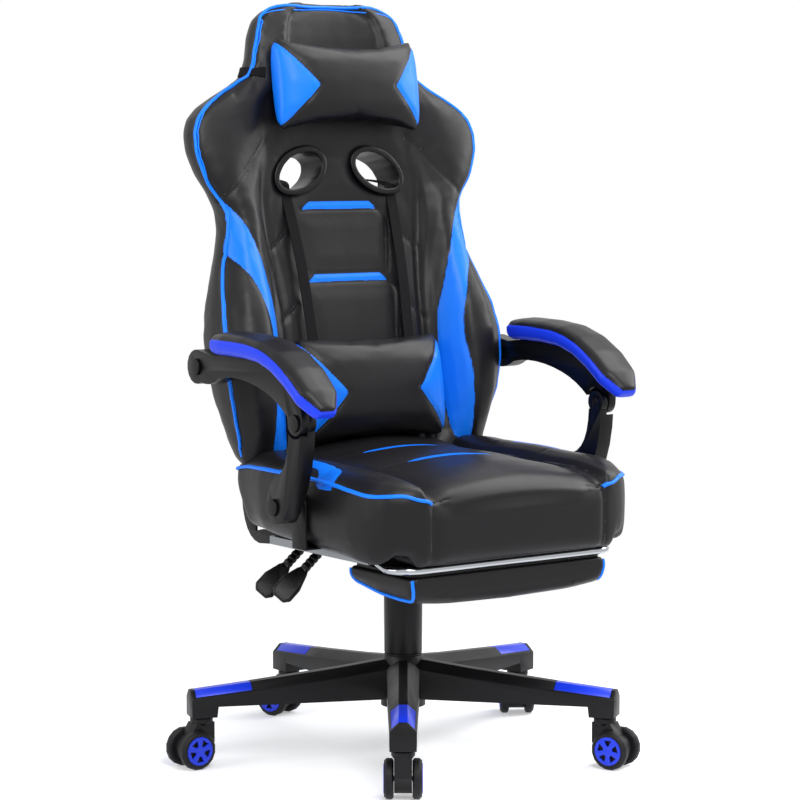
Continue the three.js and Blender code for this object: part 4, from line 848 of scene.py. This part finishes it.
# %% Arm pads
PAD_LINE = smooth_line([[86, 665], [78, 665], [40, 667], [-20, 666], [-70, 661], [-112, 648], [-150, 627],
                        [-184, 600], [-212, 572]])
PAD_HALF = 38
PAD_SHORTER = 18
END_START, END_REACH = -176, 44
BELT = 8.0  # height of the blue band's seam over the middle line
for side, word in SIDES:
    pad = copy_of(f"arm_pad_{word}", f"arm_pad_cover_{word}")
    even_skin(pad, 3.0, 12)
    points, normals = skin_of(pad)
    middle_x = (points[:, 0].min() + points[:, 0].max()) / 2
    points[:, 1] -= PAD_SHORTER * ramp(points[:, 1], -20, 90)  # foam draws back from the rear knuckle
    narrowing = np.sqrt(1 - 0.8 * np.clip((END_START - points[:, 1]) / END_REACH, 0, 1) ** 2)
    points[:, 0] = middle_x + (points[:, 0] - middle_x) * narrowing  # the front end is round in plan
    across = np.abs(points[:, 0] - middle_x)
    flat = points[:, 1:]
    spot = np.argmin(np.linalg.norm(flat[:, None, :] - PAD_LINE[None, ::3, :], axis=2), axis=1) * 3
    after = PAD_LINE[np.minimum(spot + 1, len(PAD_LINE) - 1)] - PAD_LINE[np.maximum(spot - 1, 0)]
    up = np.c_[after[:, 1], -after[:, 0]] / np.linalg.norm(after, axis=1)[:, None]
    height = np.sum((flat - PAD_LINE[spot]) * up, axis=1)
    belt = BELT - height
    seam_line = np.abs(belt)
    rounder = 2.0 * (1 - np.clip(across / PAD_HALF, 0, 1) ** 2) * (normals @ [0, 0, 1] > 0.2)
    put_skin(pad, points + normals * (0.6 + rounder - 1.3 * dip(seam_line, 4.5))[:, None])
    sew(pad, pad_cover, belt, seam_line, np.full(len(points), AWAY))
    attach(pad, f"arm_{word}")
    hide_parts(f"arm_pad_{word}")
    print(pad.name, "vertices:", len(points))

# %% [markdown]
# ## Footrest pad
# The pad lies face down under the chrome bar while it is stowed. Its two ends are panels of their own, sewn
# in with blue piping, and the leather between them is one piece that wraps round from front to back.

# %% Footrest pad
SAG, BULGE = 5, 2.5  # soft foam hangs a little in its cover, most in the middle
rest = copy_of("footrest_pad", "footrest_cover")
even_skin(rest, 3.5, 6)
points, normals = skin_of(rest)
low, high = points.min(axis=0), points.max(axis=0)
face = normals[:, 2] < -0.4
bulge = (1 - np.clip(np.abs(points[:, 0]) / high[0], 0, 1) ** 4) * face * BULGE
points[:, 2] -= SAG * ramp(-points[:, 2], -(low[2] + 20), -(low[2] + 4))
put_skin(rest, points + normals * bulge[:, None])
low[2] -= SAG
plain = np.full(len(points), AWAY)
sew(rest, cover, -plain, plain, plain)
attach(rest, "footrest")
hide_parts("footrest_pad")

# %% Piping round the footrest's ends
for side, word in SIDES:
    end = side * (high[0] - 3)
    loop = smooth_line([[end, low[1] + 5, high[2] - 3], [end, low[1] + 3, low[2] + 22],
                        [end, low[1] + 8, low[2] + 7], [end, low[1] + 24, low[2] + 4],
                        [end, (low[1] + high[1]) / 2, low[2] + 8],
                        [end, high[1] - 22, low[2] + 12], [end, high[1] - 5, low[2] + 22],
                        [end, high[1] - 4, high[2] - 3]], 6)
    end_piping = tube(f"footrest_piping_{word}", laid_on(rest, loop, 0.8, 2), 2.6, azure_pu)
    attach(end_piping, "footrest")

# %% [markdown]
# ## Plastics and metals
# The base, armrests and levers are glass-filled nylon and polypropylene from textured moulds: black, with a
# fine spark-eroded grain that breaks up the highlight. The caps and wheel discs are glossy blue ABS. The
# frame is steel: powder-coated where it is black, zinc-plated on the rails, chromed on the footrest bar.

# %% Moulded plastics


def moulded(name, shade, roughness, grain_mm=0.6, relief=0.00008, specular=0.22):
    """An injection moulded plastic with the fine texture of its mould."""
    made = new_material(name)
    place = add(made, "ShaderNodeTexCoord").outputs["Object"]
    spark = add(made, "ShaderNodeTexNoise", {"Scale": 1 / (grain_mm * MM), "Detail": 2.0}, {"Vector": place})
    cloud = add(made, "ShaderNodeTexNoise", {"Scale": 16.0, "Detail": 3.0}, {"Vector": place})
    tint = add(made, "ShaderNodeMix", {"data_type": "RGBA", "A": colour(shade), "B": shaded(shade, 1.3)},
               {"Factor": cloud.outputs[0]})
    bump = add(made, "ShaderNodeBump", {"Strength": 0.5, "Distance": relief}, {"Height": spark.outputs[0]})
    worn = add(made, "ShaderNodeMapRange", {"To Min": roughness - 0.05, "To Max": roughness + 0.09},
               {"Value": cloud.outputs[0]})
    skin = add(made, "ShaderNodeBsdfPrincipled", {"IOR": PLASTIC_IOR, "Specular IOR Level": specular},
               {"Base Color": tint.outputs["Result"], "Roughness": worn.outputs[0],
                "Normal": bump.outputs[0]})
    add(made, "ShaderNodeOutputMaterial", {}, {"Surface": skin.outputs[0]})
    return made


# %% Metals


def metal(name, shade, roughness):
    """A bare or plated metal, a little worn in patches."""
    made = new_material(name)
    place = add(made, "ShaderNodeTexCoord").outputs["Object"]
    marks = add(made, "ShaderNodeTexNoise", {"Scale": 12.0, "Detail": 3.0}, {"Vector": place})
    worn = add(made, "ShaderNodeMapRange", {"To Min": roughness * 0.8, "To Max": roughness * 1.3},
               {"Value": marks.outputs[0]})
    tint = add(made, "ShaderNodeMix", {"data_type": "RGBA", "A": colour(shade), "B": shaded(shade, 0.92)},
               {"Factor": marks.outputs[0]})
    skin = add(made, "ShaderNodeBsdfPrincipled", {"Metallic": 1.0},
               {"Base Color": tint.outputs["Result"], "Roughness": worn.outputs[0]})
    add(made, "ShaderNodeOutputMaterial", {}, {"Surface": skin.outputs[0]})
    return made


# %% The chair's plastics and metals
nylon = moulded("black glass-filled nylon", "0a0a0c", 0.40)
polypropylene = moulded("black polypropylene", "08080a", 0.32, 0.8, 0.00006)
abs_blue = moulded("glossy blue ABS", "1434cc", 0.30, 0.9, 0.00003, 0.4)
tread = moulded("black polyurethane tread", "121214", 0.5, 1.2, 0.0001)
powder = moulded("black powder coat", "0b0b0c", 0.45, 1.4, 0.0002)
fleece = moulded("black non-woven dust cover", "101011", 0.85, 2.2, 0.0004, 0.2)
zinc = metal("zinc-plated steel", "8e9195", 0.34)
chrome = metal("polished chrome", "aeb1b5", 0.09)
print("materials so far:", len(bpy.data.materials))

# %% [markdown]
# ## Breaking the edges
# A moulded or pressed piece never has a knife edge: a millimetre of radius catches the light and tells the
# eye what it is made of. Each hard piece is a welded copy of its solid, its flat faces joined, its edges
# bevelled, and then shaded smooth up to a given angle.

# %% A finished hard piece


def body_of(node):
    """The moving body that a solid belongs to."""
    return next(body for body, nodes in frame["record"]["behaviour"]["bodies"].items() if node in nodes)


def finished(node, material, edge_mm=1.2, smooth_angle=35, sharp_angle=28):
    """A copy of a solid with broken edges, standing in for it."""
    piece = copy_of(node, node + "_finished")
    edited(bpy.ops.mesh.dissolve_limited, angle_limit=math.radians(1.0))
    apply_modifier(piece, "BEVEL", width=edge_mm * MM, segments=2, limit_method="ANGLE",
                   angle_limit=math.radians(sharp_angle), use_clamp_overlap=True, miter_outer="MITER_ARC")
    bpy.ops.object.shade_smooth_by_angle(angle=math.radians(smooth_angle))
    piece.data.materials.append(material)
    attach(piece, body_of(node))
    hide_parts(node)
    return piece


# %% Which finish each piece has
finishes = {
    "base_star": (nylon, 2.0), "gas_cylinder": (powder, 0.8), "gas_piston": (zinc, 0.5),
    "dust_cover_lower": (nylon, 0.5), "dust_cover_middle": (nylon, 0.5), "dust_cover_upper": (nylon, 0.5),
    "mechanism": (powder, 1.2), "seat_board": (fleece, 0.8), "back_frame": (powder, 0.5),
    "footrest_rail_left": (zinc, 0.4), "footrest_rail_right": (zinc, 0.4),
    "footrest_board": (nylon, 1.0),
}
for _, word in SIDES:
    finishes.update({
        f"arm_frame_{word}": (polypropylene, 3.5), f"arm_post_{word}": (polypropylene, 3.5),
        f"arm_bracket_{word}": (powder, 0.8), f"arm_front_bolt_{word}": (powder, 0.7),
        f"arm_rear_bolt_{word}": (powder, 0.7), f"recliner_bracket_{word}": (powder, 0.8)
    })
for name in ("recline_lever", "lift_lever"):
    finishes.update({f"{name}_rod": (powder, 0.0), f"{name}_handle": (polypropylene, 2.2)})
for i in range(1, 6):
    finishes.update({f"arm_cap_{i}": (abs_blue, 0.8), f"caster_hood_{i}": (nylon, 1.6),
                     f"caster_stem_{i}": (zinc, 0.4)})

# %% Finish them
for node, (material, edge) in finishes.items():
    if edge:
        finished(node, material, edge)
    else:
        solid = frame["nodes"][node]
        solid.data.materials.clear()
        solid.data.materials.append(material)
        for polygon in solid.data.polygons:
            polygon.use_smooth = True
print("hard pieces:", len(finishes))

# %% [markdown]
# ## Surrounds of the two holes
# Each hole through the backrest is lined by a moulded surround with a full, rounded lip. Subdivision turns
# the coarse ring of the solid into one smooth skin, because its faces form a regular grid round the hole.

# %% Smooth surrounds
for _, word in SIDES:
    bezel = copy_of(f"hole_bezel_{word}", f"hole_surround_{word}")
    edited(bpy.ops.mesh.tris_convert_to_quads, face_threshold=math.radians(50),
           shape_threshold=math.radians(60))
    apply_modifier(bezel, "SUBSURF", levels=2, render_levels=2)
    bpy.ops.object.shade_smooth()
    bezel.data.materials.append(polypropylene)
    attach(bezel, "back")
    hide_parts(f"hole_bezel_{word}")
    print(bezel.name, "faces:", len(bezel.data.polygons))

# %% [markdown]
# ## The footrest's chrome tube
# The bar is the brightest line on the chair, so it has to be truly round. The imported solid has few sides, so
# the tube is drawn again as a curve with a round section: straight legs in the rails, a small drop, and two
# bends into the bar. The part outside the rails is a little stouter than the legs that slide in them.

# %% Chrome tube
bar_low, bar_high = (drawn(np.array(c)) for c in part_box("footrest_frame"))
LEG_RADIUS, BAR_RADIUS, BEND, DROP_REACH = 4.7, 6.0, 38, 32
leg_x, leg_z = bar_high[0] - LEG_RADIUS, bar_high[2] - LEG_RADIUS
bar_y, bar_z = bar_low[1] + LEG_RADIUS, bar_low[2] + LEG_RADIUS
drop_start, drop_end = bar_y + BEND + DROP_REACH, bar_y + BEND
half_tube = [[leg_x, bar_high[1], leg_z], [leg_x, drop_start, leg_z], [leg_x, drop_end, bar_z]]
for turn in np.linspace(0, math.pi / 2, 12):
    half_tube.append([leg_x - BEND * (1 - math.cos(turn)), bar_y + BEND * (1 - math.sin(turn)), bar_z])
half_tube = np.array(half_tube)
whole_tube = np.vstack([half_tube, half_tube[::-1] * [-1, 1, 1]])
chrome_tube = tube("footrest_tube", whole_tube, LEG_RADIUS, chrome, sides=24)
points, normals = skin_of(chrome_tube)
stouter = (BAR_RADIUS - LEG_RADIUS) * ramp(-points[:, 1], -(drop_start + 6), -drop_end)
put_skin(chrome_tube, points + normals * stouter[:, None])
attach(chrome_tube, body_of("footrest_frame"))
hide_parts("footrest_frame")
print("bar at", bar_y.round(1), bar_z.round(1), "legs at", leg_x.round(1))

# %% [markdown]
# ## Lever paddles
# Each lever ends in a flat paddle that faces the sitter's hand. It is twisted on its rod, so that fingers
# close over its broad side, and it swells towards its tip.

# %% Twisted paddles
SLEEVE_ROOT = np.array([-168 - 4.6, 0, 343 - 3.9])
SLOPE = math.radians(40)
LEVER_DOWN = np.array([-math.cos(SLOPE), 0, -math.sin(SLOPE)])
PADDLE_TWIST, PADDLE_WIDER = math.radians(-58), 0.3
LEVER_UP = np.array([-LEVER_DOWN[2], 0, LEVER_DOWN[0]])
for name in ("recline_lever", "lift_lever"):
    paddle = bpy.data.objects[f"{name}_handle_finished"]
    points, _ = skin_of(paddle)
    middle_y = (points[:, 1].min() + points[:, 1].max()) / 2
    offset = points - SLEEVE_ROOT - [0, middle_y, 0]
    along = offset @ LEVER_DOWN
    wide, thick = offset[:, 1], offset @ LEVER_UP
    share = ramp(along, 30, 46)
    wide = wide * (1 + PADDLE_WIDER * share)
    turn = PADDLE_TWIST * share
    turned_wide = wide * np.cos(turn) - thick * np.sin(turn)
    turned_thick = wide * np.sin(turn) + thick * np.cos(turn)
    put_skin(paddle, SLEEVE_ROOT + [0, middle_y, 0] + along[:, None] * LEVER_DOWN
             + turned_wide[:, None] * [0, 1, 0] + turned_thick[:, None] * LEVER_UP)
    even_skin(paddle, 1.2, 5)
    select_only(paddle)
    bpy.ops.object.shade_smooth()

# %% [markdown]
# ## Wheels
# A wheel set is one solid here, so its faces are told apart by where they lie: everything inside the radius
# of the hub disc, on the outer side, is blue ABS, and the rest is tread.

# %% Wheel sets
DISC_RADIUS, DISC_SIDE = 22.6, 27.6  # reach of the hub disc, and how far out its face lies
joints = {joint["name"]: joint for joint in frame["joints"]}
for i in range(1, 6):
    wheels = finished(f"caster_wheels_{i}", tread, 0.7, 30, 30)
    wheels.data.materials.append(abs_blue)
    joint = joints[f"caster_roll_{i}"]
    hub, axle = np.array(joint["pos_m"]), np.array(joint["axis"], float)
    axle /= np.linalg.norm(axle)
    for polygon in wheels.data.polygons:
        offset = (np.array(polygon.center) - hub) / MM
        side = abs(offset @ axle)
        radius = np.linalg.norm(offset - (offset @ axle) * axle)
        if radius < DISC_RADIUS and side > DISC_SIDE:
            polygon.material_index = 1
    print(wheels.name, "blue faces:", sum(polygon.material_index for polygon in wheels.data.polygons))

# %% [markdown]
# ## Sizes at the end
# The dressed chair has to stay the size of its solids, so both boxes are written down side by side.

# %% Sizes and finish
dressed_box = [list(corner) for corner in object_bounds()]
for axis, letter in enumerate("xyz"):
    solid_span, dressed_span = ([round(c[axis], 4) for c in box] for box in (cad_box, dressed_box))
    print(letter, "solid", solid_span, "dressed", dressed_span)
